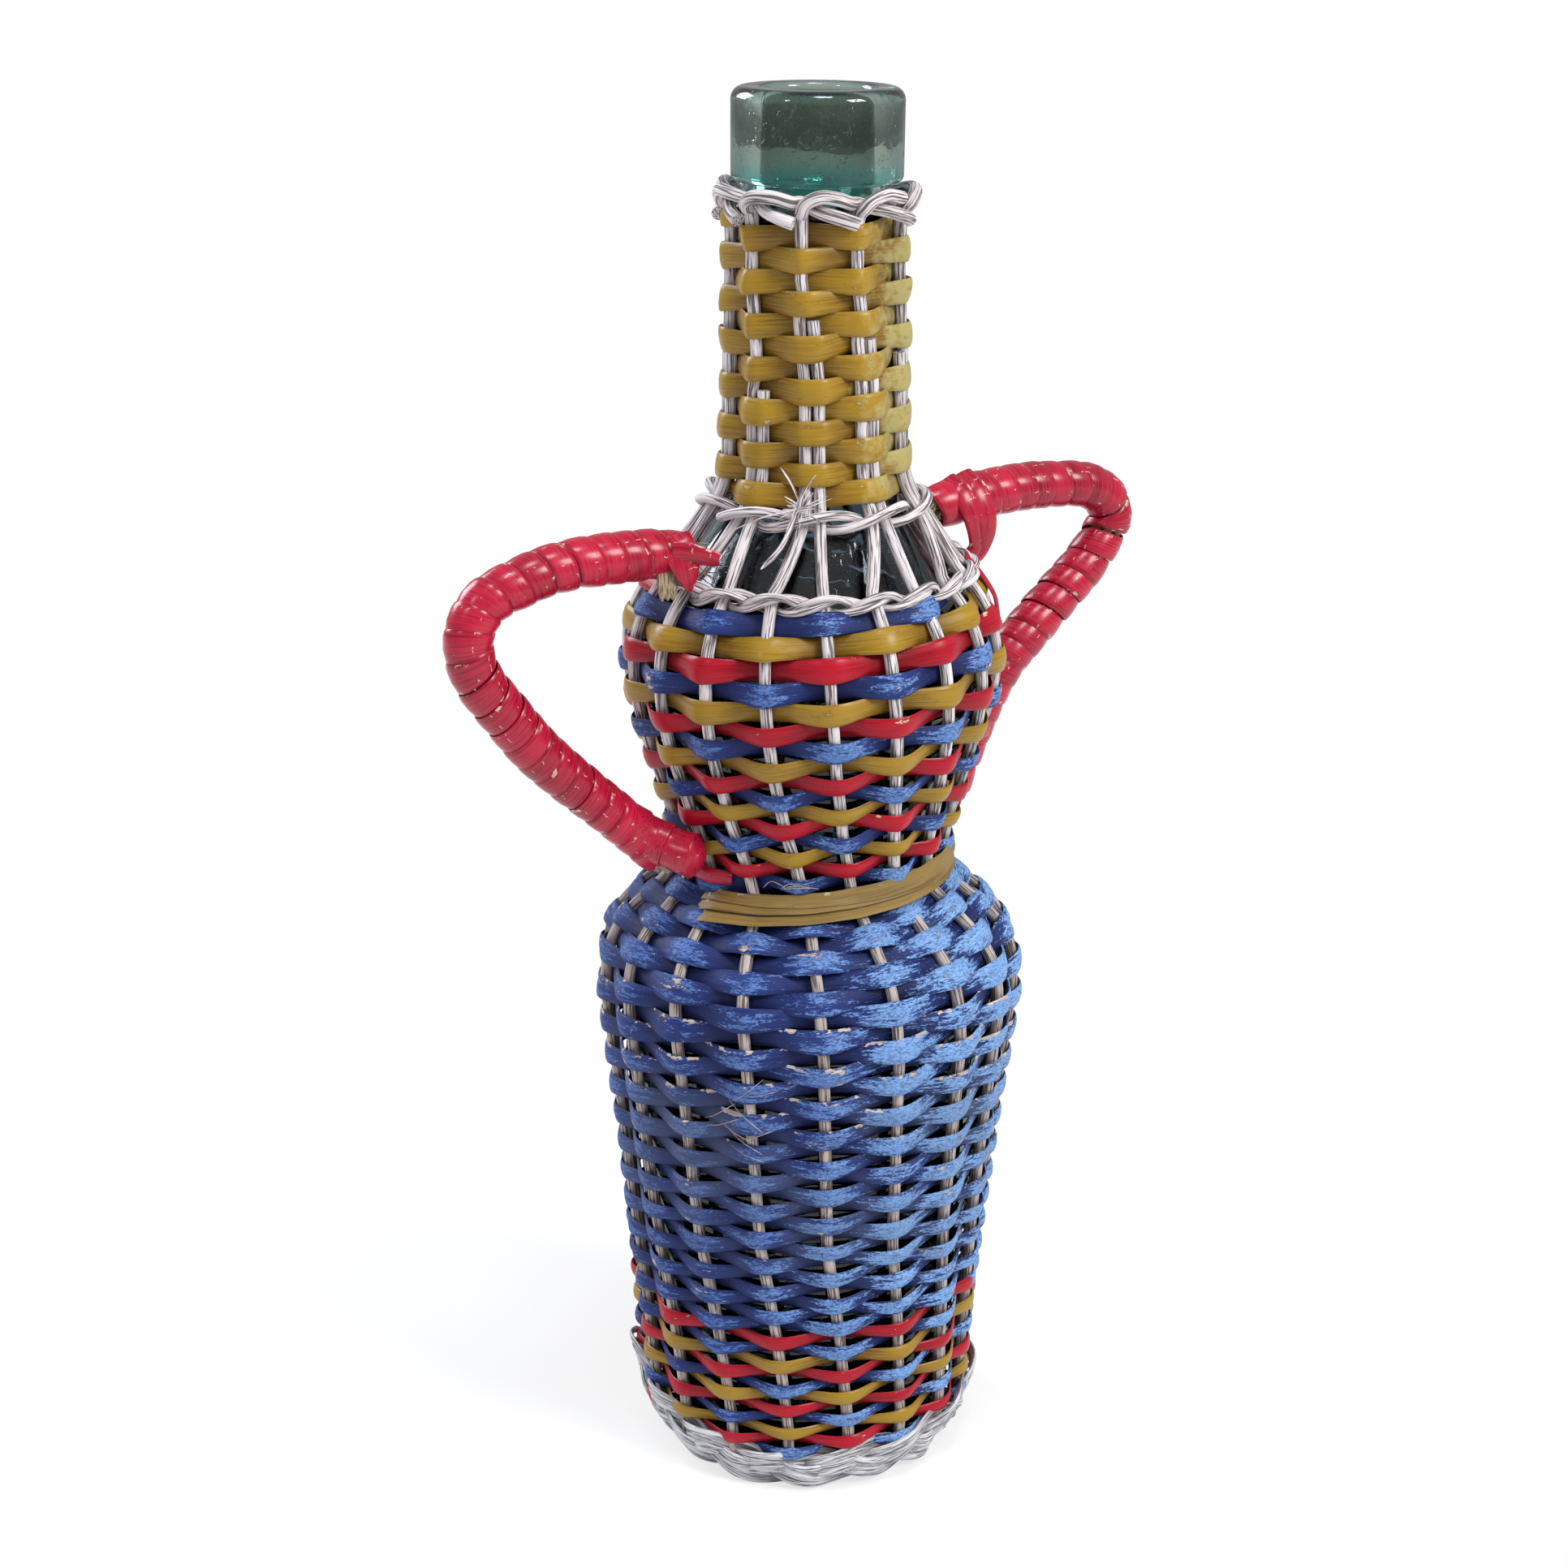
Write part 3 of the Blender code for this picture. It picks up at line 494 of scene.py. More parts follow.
class Board:
    """Short calls for the nodes used below, on one node tree."""

    def __init__(self, tree):
        self.tree = tree

    def put(self, target, value):
        """Link a socket, or set a plain value."""
        if isinstance(value, bpy.types.NodeSocket):
            self.tree.links.new(value, target)
        else:
            target.default_value = value

    def math(self, operation, a, b=0.0, c=0.0):
        """A number worked out from up to three others."""
        node = self.tree.nodes.new("ShaderNodeMath")
        node.operation = operation
        for socket, value in zip(node.inputs, (a, b, c)):
            self.put(socket, value)
        return node.outputs[0]

    def stretch(self, vector, scale):
        """A vector multiplied by three factors."""
        node = self.tree.nodes.new("ShaderNodeVectorMath")
        node.operation = "MULTIPLY"
        self.put(node.inputs[0], vector)
        self.put(node.inputs[1], scale)
        return node.outputs[0]

    def along(self, vector, direction):
        """How far a vector reaches in a direction: their dot product."""
        node = self.tree.nodes.new("ShaderNodeVectorMath")
        node.operation = "DOT_PRODUCT"
        self.put(node.inputs[0], vector)
        self.put(node.inputs[1], direction)
        return node.outputs["Value"]

    def noise(self, vector, scale, detail=3.0, rough=0.55):
        """Soft noise, from 0 to 1 about one half."""
        node = self.tree.nodes.new("ShaderNodeTexNoise")
        self.put(node.inputs["Vector"], vector)
        self.put(node.inputs["Scale"], scale)
        self.put(node.inputs["Detail"], detail)
        self.put(node.inputs["Roughness"], rough)
        return node.outputs["Fac"]

    def band(self, value, low, high, out_low=0.0, out_high=1.0):
        """A smooth step of a value from low to high."""
        node = self.tree.nodes.new("ShaderNodeMapRange")
        node.interpolation_type = "SMOOTHSTEP"
        for socket, number in zip(node.inputs, (value, low, high, out_low, out_high)):
            self.put(socket, number)
        return node.outputs[0]

    def mix(self, factor, a, b):
        """Two colours mixed by a factor."""
        node = self.tree.nodes.new("ShaderNodeMix")
        node.data_type = "RGBA"
        self.put(node.inputs[0], factor)
        self.put(node.inputs[6], a)
        self.put(node.inputs[7], b)
        return node.outputs[2]

    def place(self):
        """Where the surface is on the object, in metres."""
        return self.tree.nodes.new("ShaderNodeTexCoord").outputs["Object"]

    def bump(self, height, strength, distance):
        """Normals that lean as a height asks."""
        node = self.tree.nodes.new("ShaderNodeBump")
        node.inputs["Strength"].default_value = strength
        node.inputs["Distance"].default_value = distance
        self.put(node.inputs["Height"], height)
        return node.outputs[0]

    def attribute(self, name):
        """A value that the mesh stores."""
        node = self.tree.nodes.new("ShaderNodeAttribute")
        node.attribute_name = name
        return node

    def group(self, tree, **values):
        """A node group placed with its own values; spaces in socket names are underscores here."""
        node = self.tree.nodes.new("ShaderNodeGroup")
        node.node_tree = tree
        for label, value in values.items():
            self.put(node.inputs[label.replace("_", " ")], value)
        return node.outputs


def new_material(name):
    """An empty material, with short calls for its nodes and with its shader."""
    material = bpy.data.materials.new(name)
    material.use_nodes = True
    tree = material.node_tree
    return material, Board(tree), tree.nodes["Principled BSDF"]


FLOAT = "NodeSocketFloat"
VECTOR = "NodeSocketVector"
UP = (0.0, 0.0, 1.0)


# %% Group: the grain of cane
def build_grain():
    """Grain: noise drawn out along the cane, broad streaks and fine pores."""
    group, entry, leave = new_group(
        "Cane grain", {"Lay": (VECTOR, None), "Length": (FLOAT, 0.07), "Fineness": (FLOAT, 2.2)},
        {"Streak": FLOAT, "Pores": FLOAT, "Height": FLOAT})
    board = Board(group)
    scale = group.nodes.new("ShaderNodeCombineXYZ")
    board.put(scale.inputs[0], entry.outputs["Length"])
    board.put(scale.inputs[1], entry.outputs["Fineness"])
    board.put(scale.inputs[2], entry.outputs["Fineness"])
    drawn = board.stretch(entry.outputs["Lay"], scale.outputs[0])
    streak = board.noise(drawn, 1.0, 4.0, 0.62)
    pores = board.noise(board.stretch(drawn, (3.0, 2.2, 2.2)), 1.0, 2.0, 0.6)
    board.put(leave.inputs["Streak"], streak)
    board.put(leave.inputs["Pores"], pores)
    board.put(leave.inputs["Height"], board.math("MULTIPLY_ADD", pores, 0.45, streak))
    return group


# %% Group: dry brush strokes
def build_brush():
    """Strokes: long thin patches of pale paint, more of them where the cane stands out."""
    group, entry, leave = new_group(
        "Dry brush", {"Lay": (VECTOR, None), "Stand": (FLOAT, 0.5), "Reach": (FLOAT, 0.0)},
        {"Mask": FLOAT, "Height": FLOAT})
    board = Board(group)
    stroke = board.noise(board.stretch(entry.outputs["Lay"], (0.16, 0.95, 0.95)), 1.0, 5.0, 0.66)
    speck = board.noise(board.stretch(entry.outputs["Lay"], (1.1, 3.4, 3.4)), 1.0, 3.0, 0.65)
    level = board.math("MULTIPLY_ADD", entry.outputs["Stand"], 0.34, stroke)
    level = board.math("MULTIPLY_ADD", speck, 0.50, level)
    level = board.math("ADD", level, entry.outputs["Reach"])
    board.put(leave.inputs["Mask"], board.band(level, 0.94, 1.06))
    board.put(leave.inputs["Height"], speck)
    return group


# %% Group: paint worn off
def build_wear():
    """Wear: a patchy mask, near 1 where bare wood shows, likelier where the cane stands out."""
    group, entry, leave = new_group(
        "Paint wear",
        {"Lay": (VECTOR, None), "Stand": (FLOAT, 0.5), "Amount": (FLOAT, 0.4), "Patch": (FLOAT, 0.35)},
        {"Mask": FLOAT, "Rim": FLOAT})
    board = Board(group)
    place = board.stretch(entry.outputs["Lay"], (0.45, 1.0, 1.0))
    patch = board.noise(place, entry.outputs["Patch"], 6.0, 0.7)
    raised = board.math("MULTIPLY_ADD", entry.outputs["Stand"], 0.10, patch)
    level = board.math("MULTIPLY_ADD", entry.outputs["Amount"], 0.45, raised)
    board.put(leave.inputs["Mask"], board.band(level, 0.86, 0.885))
    board.put(leave.inputs["Rim"], board.band(level, 0.80, 0.86))
    return group


# %% Group: chips along an edge
def build_chips():
    """Chips: short bare bits on the strip's edges, where noise along the edge is high."""
    group, entry, leave = new_group(
        "Edge chips", {"Lay": (VECTOR, None), "Edge": (FLOAT, 0.0), "Amount": (FLOAT, 0.3)},
        {"Mask": FLOAT})
    board = Board(group)
    ragged = board.noise(board.stretch(entry.outputs["Lay"], (0.4, 1.4, 1.4)), 1.0, 3.0, 0.7)
    near = board.math("MULTIPLY_ADD", ragged, 0.9, entry.outputs["Edge"])
    run = board.noise(board.stretch(entry.outputs["Lay"], (0.22, 0.3, 0.3)), 1.0, 3.0, 0.6)
    level = board.math("MULTIPLY_ADD", entry.outputs["Amount"], 0.5, run)
    board.put(leave.inputs["Mask"], board.math("MULTIPLY", board.band(near, 1.16, 1.22),
                                               board.band(level, 0.68, 0.71)))
    return group


# %% Group: cracks across the cane
def build_cracks():
    """Cracks: thin lines across the cane, at uneven steps along it, each only part of the way."""
    group, entry, leave = new_group(
        "Cross cracks",
        {"Lay": (VECTOR, None), "Spacing": (FLOAT, 5.0), "Width": (FLOAT, 0.02), "Reach": (FLOAT, 0.5)},
        {"Mask": FLOAT})
    board = Board(group)
    split = group.nodes.new("ShaderNodeSeparateXYZ")
    board.put(split.inputs[0], entry.outputs["Lay"])
    bend = board.noise(board.stretch(entry.outputs["Lay"], (0.3, 0.8, 0.8)), 1.0, 3.0, 0.6)
    along = board.math("MULTIPLY_ADD", bend, 1.6, split.outputs[0])
    cell = group.nodes.new("ShaderNodeTexVoronoi")
    cell.voronoi_dimensions = "1D"
    cell.feature = "DISTANCE_TO_EDGE"
    board.put(cell.inputs["W"], board.math("DIVIDE", along, entry.outputs["Spacing"]))
    cell.inputs["Scale"].default_value = 1.0
    line = board.math("LESS_THAN", cell.outputs["Distance"], entry.outputs["Width"])
    shown = board.noise(board.stretch(entry.outputs["Lay"], (0.11, 0.5, 0.5)), 1.0, 2.0, 0.5)
    allowed = board.math("LESS_THAN", shown, entry.outputs["Reach"])
    board.put(leave.inputs["Mask"], board.math("MULTIPLY", line, allowed))
    return group


# %% Group: the faded and lit side, dust, and the painted shade below the waist
# The way to the right as the camera sees it, where light falls and the paint is made paler
TO_THE_RIGHT = (0.839, -0.545, 0.0)


def build_fading_light_and_shade():
    """Masks by place: the sunny right, partly faded and partly painted light; dust and chips on the skirt;
    the neck's faded right; and below the waist, for painted shade.
    """
    masks = ("Faded and lit", "Grime", "Chipped", "Sunned", "Low")
    group, _, leave = new_group("Fading, dust, light and shade", {}, {mask: FLOAT for mask in masks})
    board = Board(group)
    place = board.place()
    right = board.along(place, TO_THE_RIGHT)
    cloud = board.noise(place, 28.0, 3.0, 0.6)
    ragged = board.math("MULTIPLY_ADD", cloud, 0.08, right)
    high = board.along(place, UP)
    # The right side is paler: partly faded paint and partly painted light.
    sunny = board.band(ragged, 0.005, 0.085)
    less_on_bust = board.band(high, 0.160, 0.190, 1.0, 0.5)
    board.put(leave.inputs["Faded and lit"], board.math("MULTIPLY", sunny, less_on_bust))
    low_side = board.math("MULTIPLY", board.band(high, 0.055, 0.090), board.band(high, 0.128, 0.108))
    board.put(leave.inputs["Grime"], board.math("MULTIPLY", low_side, board.band(cloud, 0.36, 0.60)))
    ring = board.math("MULTIPLY", board.band(high, 0.100, 0.114), board.band(high, 0.152, 0.138))
    board.put(leave.inputs["Chipped"], ring)
    rough_cloud = board.noise(place, 260.0, 5.0, 0.72)
    neck_side = board.band(board.math("MULTIPLY_ADD", rough_cloud, 0.046, right), 0.034, 0.047)
    neck_only = board.band(high, 0.262, 0.276)
    board.put(leave.inputs["Sunned"], board.math("MULTIPLY", neck_side, neck_only))
    # Below the waist, where the bare cane gets painted shade.
    board.put(leave.inputs["Low"], board.band(high, 0.190, 0.160))
    return group


GRAIN = build_grain()
BRUSH = build_brush()
WEAR = build_wear()
CHIPS = build_chips()
CRACKS = build_cracks()
FADING_LIGHT_AND_SHADE = build_fading_light_and_shade()
print("shader groups:", [group.name for group in (GRAIN, BRUSH, WEAR, CHIPS, CRACKS, FADING_LIGHT_AND_SHADE)])

# %% [markdown]
# ## Bare and painted cane
#
# The stakes were never painted: they have gone grey and cream, with dark lines along them. A
# painted strip is the same wood under a coat. The coat has two tones, deep in the hollows and
# pale on the crests, and that difference is painted shade and light; it sits over a bare tone
# that shows through chips and cracks. One function makes both kinds, so that all canes age alike.

# %% Cane materials
def shade(colour, factor):
    """A colour made darker or lighter."""
    return tuple(min(1.0, c * factor) for c in colour[:3]) + (1,)


def cane_material(name, deep, light, bare=(0.62, 0.47, 0.33, 1), wear=0.3, dark=None, brushed=None,
                  rough=(0.35, 0.6), bump=0.25, cracks=0.0, painted=True, contrast=(0.35, 0.72),
                  grain=(0.07, 2.2), coat=0.0, patch=0.35, chips=0.0, faded=None, shaded_below=None,
                  bleached_and_lit=None, gloss=0.5, lines=(0.52, 0.40)):
    """A cane finish.

    The colour goes from deep to light with the grain and with how far the cane stands out, which
    is painted shade in the recesses and painted light on the crests. brushed names the pale paint
    of the dry brush and bleached_and_lit the same paint on the right side, partly faded and partly
    painted light; faded names the other paints' colour there, and shaded_below the painted shade
    on the bare cane below the waist.
    Worn spots, chips and cracks show the bare colour.
    """
    material, board, shader = new_material(name)
    lay = board.attribute("lay").outputs["Vector"]
    stand = board.attribute("stand").outputs["Fac"]
    edge = board.attribute("edge").outputs["Fac"]
    wood = board.group(GRAIN, Lay=lay, Length=grain[0], Fineness=grain[1])
    # Deep where the cane lies back and light where it stands out, over the grain: painted shade and light.
    tone = board.band(board.math("MULTIPLY_ADD", stand, 0.42, wood["Streak"]), *contrast)
    colour = board.mix(tone, deep, light)
    height = wood["Height"]
    weather_light_shade = board.group(FADING_LIGHT_AND_SHADE)
    if brushed:
        # On the right the pale strokes spread and turn paler: partly faded paint, partly painted light.
        reach = board.math("MULTIPLY_ADD", weather_light_shade["Faded and lit"], 0.15, -0.05)
        stroke = board.group(BRUSH, Lay=lay, Stand=stand, Reach=reach)
        mottle = board.band(stroke["Height"], 0.36, 0.62)
        pale = board.mix(mottle, shade(brushed, 0.42), shade(brushed, 1.25))
        pale = board.mix(weather_light_shade["Faded and lit"], pale, board.mix(mottle, shade(bleached_and_lit, 0.42), bleached_and_lit))
        colour = board.mix(stroke["Mask"], colour, pale)
        height = board.math("MULTIPLY_ADD", stroke["Mask"], 0.5, height)
        height = board.math("MULTIPLY_ADD", stroke["Height"], 0.7, height)
        grime = board.math("MULTIPLY", weather_light_shade["Grime"], 0.35)
        colour = board.mix(grime, colour, (0.11, 0.135, 0.20, 1))
    if faded:
        colour = board.mix(board.math("MULTIPLY", weather_light_shade["Sunned"], 0.72), colour, faded)
    # Below the waist the bare cane is darkened towards brown: painted shade.
    if shaded_below:
        colour = board.mix(board.math("MULTIPLY", weather_light_shade["Low"], 0.6), colour, shaded_below)
    if dark:
        thin = board.band(wood["Pores"], *lines, 0.0, 0.92)
        colour = board.mix(thin, colour, dark)
        height = board.math("MULTIPLY_ADD", thin, -0.6, height)
    roughness = board.band(wood["Streak"], 0.3, 0.7, rough[0], rough[1])
    if painted:
        worn = board.group(WEAR, Lay=lay, Stand=stand, Amount=wear, Patch=patch)
        under = board.mix(board.band(wood["Streak"], 0.35, 0.65), shade(bare, 0.6), bare)
        gone = worn["Mask"]
        if chips:
            more = chips if not brushed else board.math("MULTIPLY_ADD", weather_light_shade["Chipped"], 0.42, chips)
            chipped = board.group(CHIPS, Lay=lay, Edge=edge, Amount=more)
            gone = board.math("MAXIMUM", gone, chipped["Mask"])
        colour = board.mix(worn["Rim"], colour, board.mix(0.5, colour, deep))
        colour = board.mix(gone, colour, under)
        height = board.math("MULTIPLY_ADD", gone, -0.8, height)
        roughness = board.math("MAXIMUM", roughness, board.math("MULTIPLY", gone, 0.75))
    if cracks:
        split = board.group(CRACKS, Lay=lay, Spacing=4.6, Width=0.022, Reach=cracks)
        colour = board.mix(board.math("MULTIPLY", split["Mask"], 0.8), colour, bare)
        height = board.math("MULTIPLY_ADD", split["Mask"], -0.9, height)
    shader.inputs["Specular IOR Level"].default_value = gloss
    shader.inputs["Coat Weight"].default_value = coat
    shader.inputs["Coat Roughness"].default_value = 0.22
    board.put(shader.inputs["Base Color"], colour)
    board.put(shader.inputs["Roughness"], roughness)
    board.put(shader.inputs["Normal"], board.bump(height, bump, 0.25 * MM))
    return material


BARE = cane_material("Bare cane", (0.36, 0.30, 0.29, 1), (0.80, 0.74, 0.76, 1),
                     dark=(0.075, 0.052, 0.048, 1), rough=(0.5, 0.75), bump=0.6, painted=False,
                     contrast=(0.34, 0.84), grain=(0.028, 1.0), lines=(0.50, 0.42),
                     shaded_below=(0.33, 0.255, 0.215, 1))
WHITENED = cane_material("Whitened cane", (0.24, 0.22, 0.23, 1), (0.74, 0.74, 0.78, 1),
                         dark=(0.10, 0.085, 0.09, 1), rough=(0.5, 0.75), bump=0.5, painted=False,
                         contrast=(0.40, 0.92), grain=(0.045, 1.3))
WRAP = cane_material("Waist cane", (0.11, 0.062, 0.012, 1), (0.29, 0.185, 0.045, 1),
                     bare=(0.50, 0.46, 0.28, 1), wear=0.30, rough=(0.45, 0.65), bump=0.35, chips=0.10,
                     contrast=(0.34, 0.90), grain=(0.05, 1.6))
OCHRE = cane_material("Ochre cane", (0.155, 0.072, 0.004, 1), (0.385, 0.225, 0.013, 1),
                      bare=(0.50, 0.46, 0.28, 1), wear=0.30, rough=(0.30, 0.5), bump=0.20, chips=0.0,
                      contrast=(0.34, 0.95), coat=0.10, gloss=0.35, patch=0.30, faded=(0.44, 0.41, 0.17, 1))
RED = cane_material("Red cane", (0.20, 0.002, 0.008, 1), (0.46, 0.006, 0.022, 1),
                    bare=(0.72, 0.52, 0.40, 1), wear=0.27, rough=(0.25, 0.45), bump=0.18,
                    contrast=(0.36, 0.95), coat=0.08, gloss=0.22, patch=0.30, chips=0.02)
BOUND_RED = cane_material("Red binding", (0.15, 0.001, 0.010, 1), (0.58, 0.009, 0.045, 1),
                          bare=(0.74, 0.55, 0.44, 1), wear=0.25, rough=(0.22, 0.42), bump=0.18,
                          cracks=0.40, contrast=(0.42, 0.98), coat=0.45, gloss=0.22, patch=0.30, chips=0.18)
BLUE = cane_material("Blue cane", (0.008, 0.014, 0.085, 1), (0.022, 0.050, 0.23, 1),
                     bare=(0.70, 0.58, 0.50, 1), wear=0.33, rough=(0.40, 0.65), bump=0.5, chips=-0.12,
                     brushed=(0.080, 0.160, 0.45, 1), bleached_and_lit=(0.25, 0.47, 0.90, 1),
                     contrast=(0.45, 1.05), gloss=0.25, patch=0.26)
RAW = cane_material("Raw cane", (0.14, 0.085, 0.05, 1), (0.46, 0.35, 0.23, 1), dark=(0.06, 0.035, 0.02, 1),
                    rough=(0.6, 0.85), bump=0.6, painted=False)
print("materials:", [m.name for m in bpy.data.materials])

# %% [markdown]
# ## The glass
#
# The bottle is hand-made green glass with a thick collar. Its outer wall lies just behind the
# wicker, so its profile is the wicker's own line moved in; the inner wall is moved in by the
# glass's thickness. The whole outline, from the middle of the punt round the lip and back to
# the middle of the floor, is turned once round the axis, and the two poles are closed.

# %% Glass profile
GLASS_INSET = 3.9 * MM
GLASS_WALL = 3.0 * MM
LIP_RADIUS = 21.6 * MM
LIP_ROUND = 3.2 * MM
BORE_RADIUS = 14.0 * MM
SEAT = 5.0 * MM
PUNT = 12.0 * MM
# The punt's curve from its middle: share of the heel's radius, share of the punt's height
PUNT_CURVE = ((0.0, 1.0), (0.3, 0.86), (0.6, 0.42))
FLOOR_THICK = 4 * MM
HEEL_ROUND = 7.0 * MM
EDGE_ROUND = 1.6 * MM


def arc(centre_r, centre_z, radius, start, end, count=10):
    """An arc in the plane of radius and height, angles in degrees."""
    a = np.radians(np.linspace(start, end, count))
    return np.stack([centre_r + radius * np.cos(a), centre_z + radius * np.sin(a)], axis=1)


def glass_profile():
    """The bottle's outline from the punt's middle, up the outside, over the lip and down inside."""
    s = np.linspace(0.0, S_NECK_TOP, 150)
    r, z = wall(s, -GLASS_INSET)
    outer = np.stack([r, z], axis=1)
    heel_r = r[0]
    punt = [(heel_r * out, SEAT + PUNT * up) for out, up in PUNT_CURVE]
    heel = arc(heel_r - HEEL_ROUND, SEAT + HEEL_ROUND, HEEL_ROUND, -90, 0, 12)
    outer = outer[outer[:, 1] > SEAT + HEEL_ROUND + 1 * MM]
    top_r = outer[-1, 0]
    collar = arc(LIP_RADIUS - EDGE_ROUND, LIP_BOTTOM + EDGE_ROUND, EDGE_ROUND, -80, 0, 6)
    lip = arc(LIP_RADIUS - LIP_ROUND, LIP_TOP - LIP_ROUND, LIP_ROUND, 0, 90, 12)
    rim = arc(BORE_RADIUS + EDGE_ROUND, LIP_TOP - EDGE_ROUND, EDGE_ROUND, 90, 180, 8)
    inner_z = outer[::-1, 1]
    inner_r = outer[::-1, 0] - GLASS_WALL
    inner = np.stack([inner_r, inner_z], axis=1)
    bore_foot = np.array([[BORE_RADIUS, LIP_BOTTOM + 3 * MM], [inner_r[0] + 0.2 * MM, LIP_BOTTOM - 4 * MM]])
    floor = [(heel_r - HEEL_ROUND * 0.8, SEAT + 6.5 * MM)]
    floor += [(r_punt, z_punt + FLOOR_THICK) for r_punt, z_punt in reversed(punt)]
    neck = np.array([(top_r, LIP_BOTTOM - 0.2 * MM)])
    return np.vstack([punt, heel, outer, neck, collar, lip, rim, bore_foot, inner[1:], floor])


def turned_glass(segments=120):
    """The profile turned round the axis; its first and last points are the poles."""
    profile = glass_profile()
    rings = profile[1:-1]
    angle = TAU * np.arange(segments) / segments
    seed = 0.12 * MM * np.sin(rings[:, 1:] / (17 * MM) + 2 * angle) * (rings[:, 1:] > LIP_BOTTOM)
    grid = around(rings[:, :1] + seed, angle[None, :], rings[:, 1:])
    points = np.vstack([grid.reshape(-1, 3), [[0, 0, profile[0, 1]], [0, 0, profile[-1, 1]]]])
    quads = grid_faces(len(rings), segments, False)
    j = np.arange(segments)
    base = len(rings) * segments
    low = np.stack([np.full(segments, base), (j + 1) % segments, j], axis=1)
    high_row = (len(rings) - 1) * segments
    high = np.stack([np.full(segments, base + 1), high_row + j, high_row + (j + 1) % segments], axis=1)
    if signed_volume(points, quads) < 0:
        quads, low, high = quads[:, ::-1], low[:, ::-1], high[:, ::-1]
    mesh = bpy.data.meshes.new("bottle_glass")
    mesh.from_pydata(points, [], quads.tolist() + low.tolist() + high.tolist())
    mesh.shade_smooth()
    return mesh


# %% Glass material
def glass_material():
    """Green glass: teal at the collar's foot, pale slate at the shoulder for dust and painted reflection,
    dark under the wicker as painted shade.

    A ray that grazes the wall runs a long way through glass, so the colour deepens with Facing.
    """
    material, board, shader = new_material("Green glass")
    shader.inputs["Transmission Weight"].default_value = 1.0
    shader.inputs["IOR"].default_value = 1.5
    place = board.place()
    high = board.along(place, UP)
    cloud = board.noise(place, 55.0, 3.0, 0.55)
    thin = board.band(cloud, 0.35, 0.65)
    # The glass is darkened where the wicker covers it, as painted shade; the paler bluish shoulder is dust
    # and painted reflection.
    body = board.mix(thin, (0.10, 0.15, 0.16, 1), (0.16, 0.24, 0.24, 1))
    shoulder = board.mix(thin, (0.26, 0.31, 0.35, 1), (0.38, 0.44, 0.48, 1))
    collar = board.mix(thin, (0.235, 0.31, 0.265, 1), (0.31, 0.385, 0.335, 1))
    colour = board.mix(board.band(high, 0.228, 0.240), body, shoulder)
    colour = board.mix(board.band(high, 0.276, 0.284), colour, body)
    colour = board.mix(board.band(high, 0.336, 0.343), colour, (0.05, 0.30, 0.28, 1))
    colour = board.mix(board.band(high, 0.347, 0.3535), colour, collar)
    aslant = board.tree.nodes.new("ShaderNodeLayerWeight")
    aslant.inputs["Blend"].default_value = 0.35
    rim_dark = board.math("MULTIPLY", board.band(aslant.outputs["Facing"], 0.08, 0.46), 0.86)
    colour = board.mix(rim_dark, colour, (0.075, 0.118, 0.118, 1))
    dust = board.band(board.noise(place, 900.0, 4.0, 0.7), 0.62, 0.70)
    board.put(shader.inputs["Base Color"], colour)
    board.put(shader.inputs["Roughness"], board.math("MULTIPLY_ADD", dust, 0.35, 0.02))
    ripple = board.noise(board.stretch(place, (1.0, 1.0, 0.35)), 130.0, 2.0, 0.5)
    seeds = board.band(board.noise(place, 480.0, 2.0, 0.5), 0.66, 0.72)
    height = board.math("MULTIPLY_ADD", seeds, 0.5, ripple)
    board.put(shader.inputs["Normal"], board.bump(height, 0.35, 0.4 * MM))
    return material


glass_mesh = turned_glass()
glass_mesh.materials.append(glass_material())
bottle = bpy.data.objects.new("bottle_glass", glass_mesh)
bpy.context.scene.collection.objects.link(bottle)
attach(bottle, "root")
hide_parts("glass_bottle")
print("glass faces:", len(glass_mesh.polygons))

# %% [markdown]
# ## The stakes and the scalloped border
#
# Each stake is one cane swept along its path. At the top the long ones are turned down: each
# rises from behind the last ochre row, bends right in a low arch, passes behind the next
# stake and comes out again a little lower, where it is cut off. Repeating that nine times
# makes the scallops.

# %% Stakes
# The border's route: steps to the right, share of the way out, height over the weave in mm
BORDER_ROUTE = np.array([
    (0.00, 0.30, 0.5), (0.03, 0.80, 2.6), (0.12, 1.00, 4.6), (0.32, 1.05, 5.6), (0.60, 0.90, 5.2),
    (0.85, 0.45, 4.2), (1.00, 0.15, 3.7), (1.15, 0.20, 3.1), (1.40, 0.65, 1.8), (1.70, 0.95, 0.2),
    (1.90, 1.00, -0.9)])
BORDER_TUCKED = 20.5 * MM
BORDER_PROUD = 24.5 * MM
BORDER_RADIUS = 1.78 * MM
# Points over which a stake thickens into the border
EASE_POINTS = 14


def border_path(group):
    """The turned-down end: steps to the right, how far out, and how high, made a curve."""
    route = BORDER_ROUTE + rng.normal(0, 1, BORDER_ROUTE.shape) * (0.012, 0.04, 0.22)
    angle = group_angle(group + route[:, 0]) + lean(S_NECK_TOP)
    r = BORDER_TUCKED + (BORDER_PROUD - BORDER_TUCKED) * np.clip(route[:, 1], 0.0, 1.08)
    return around(r, angle, NECK_TOP + route[:, 2] * MM)


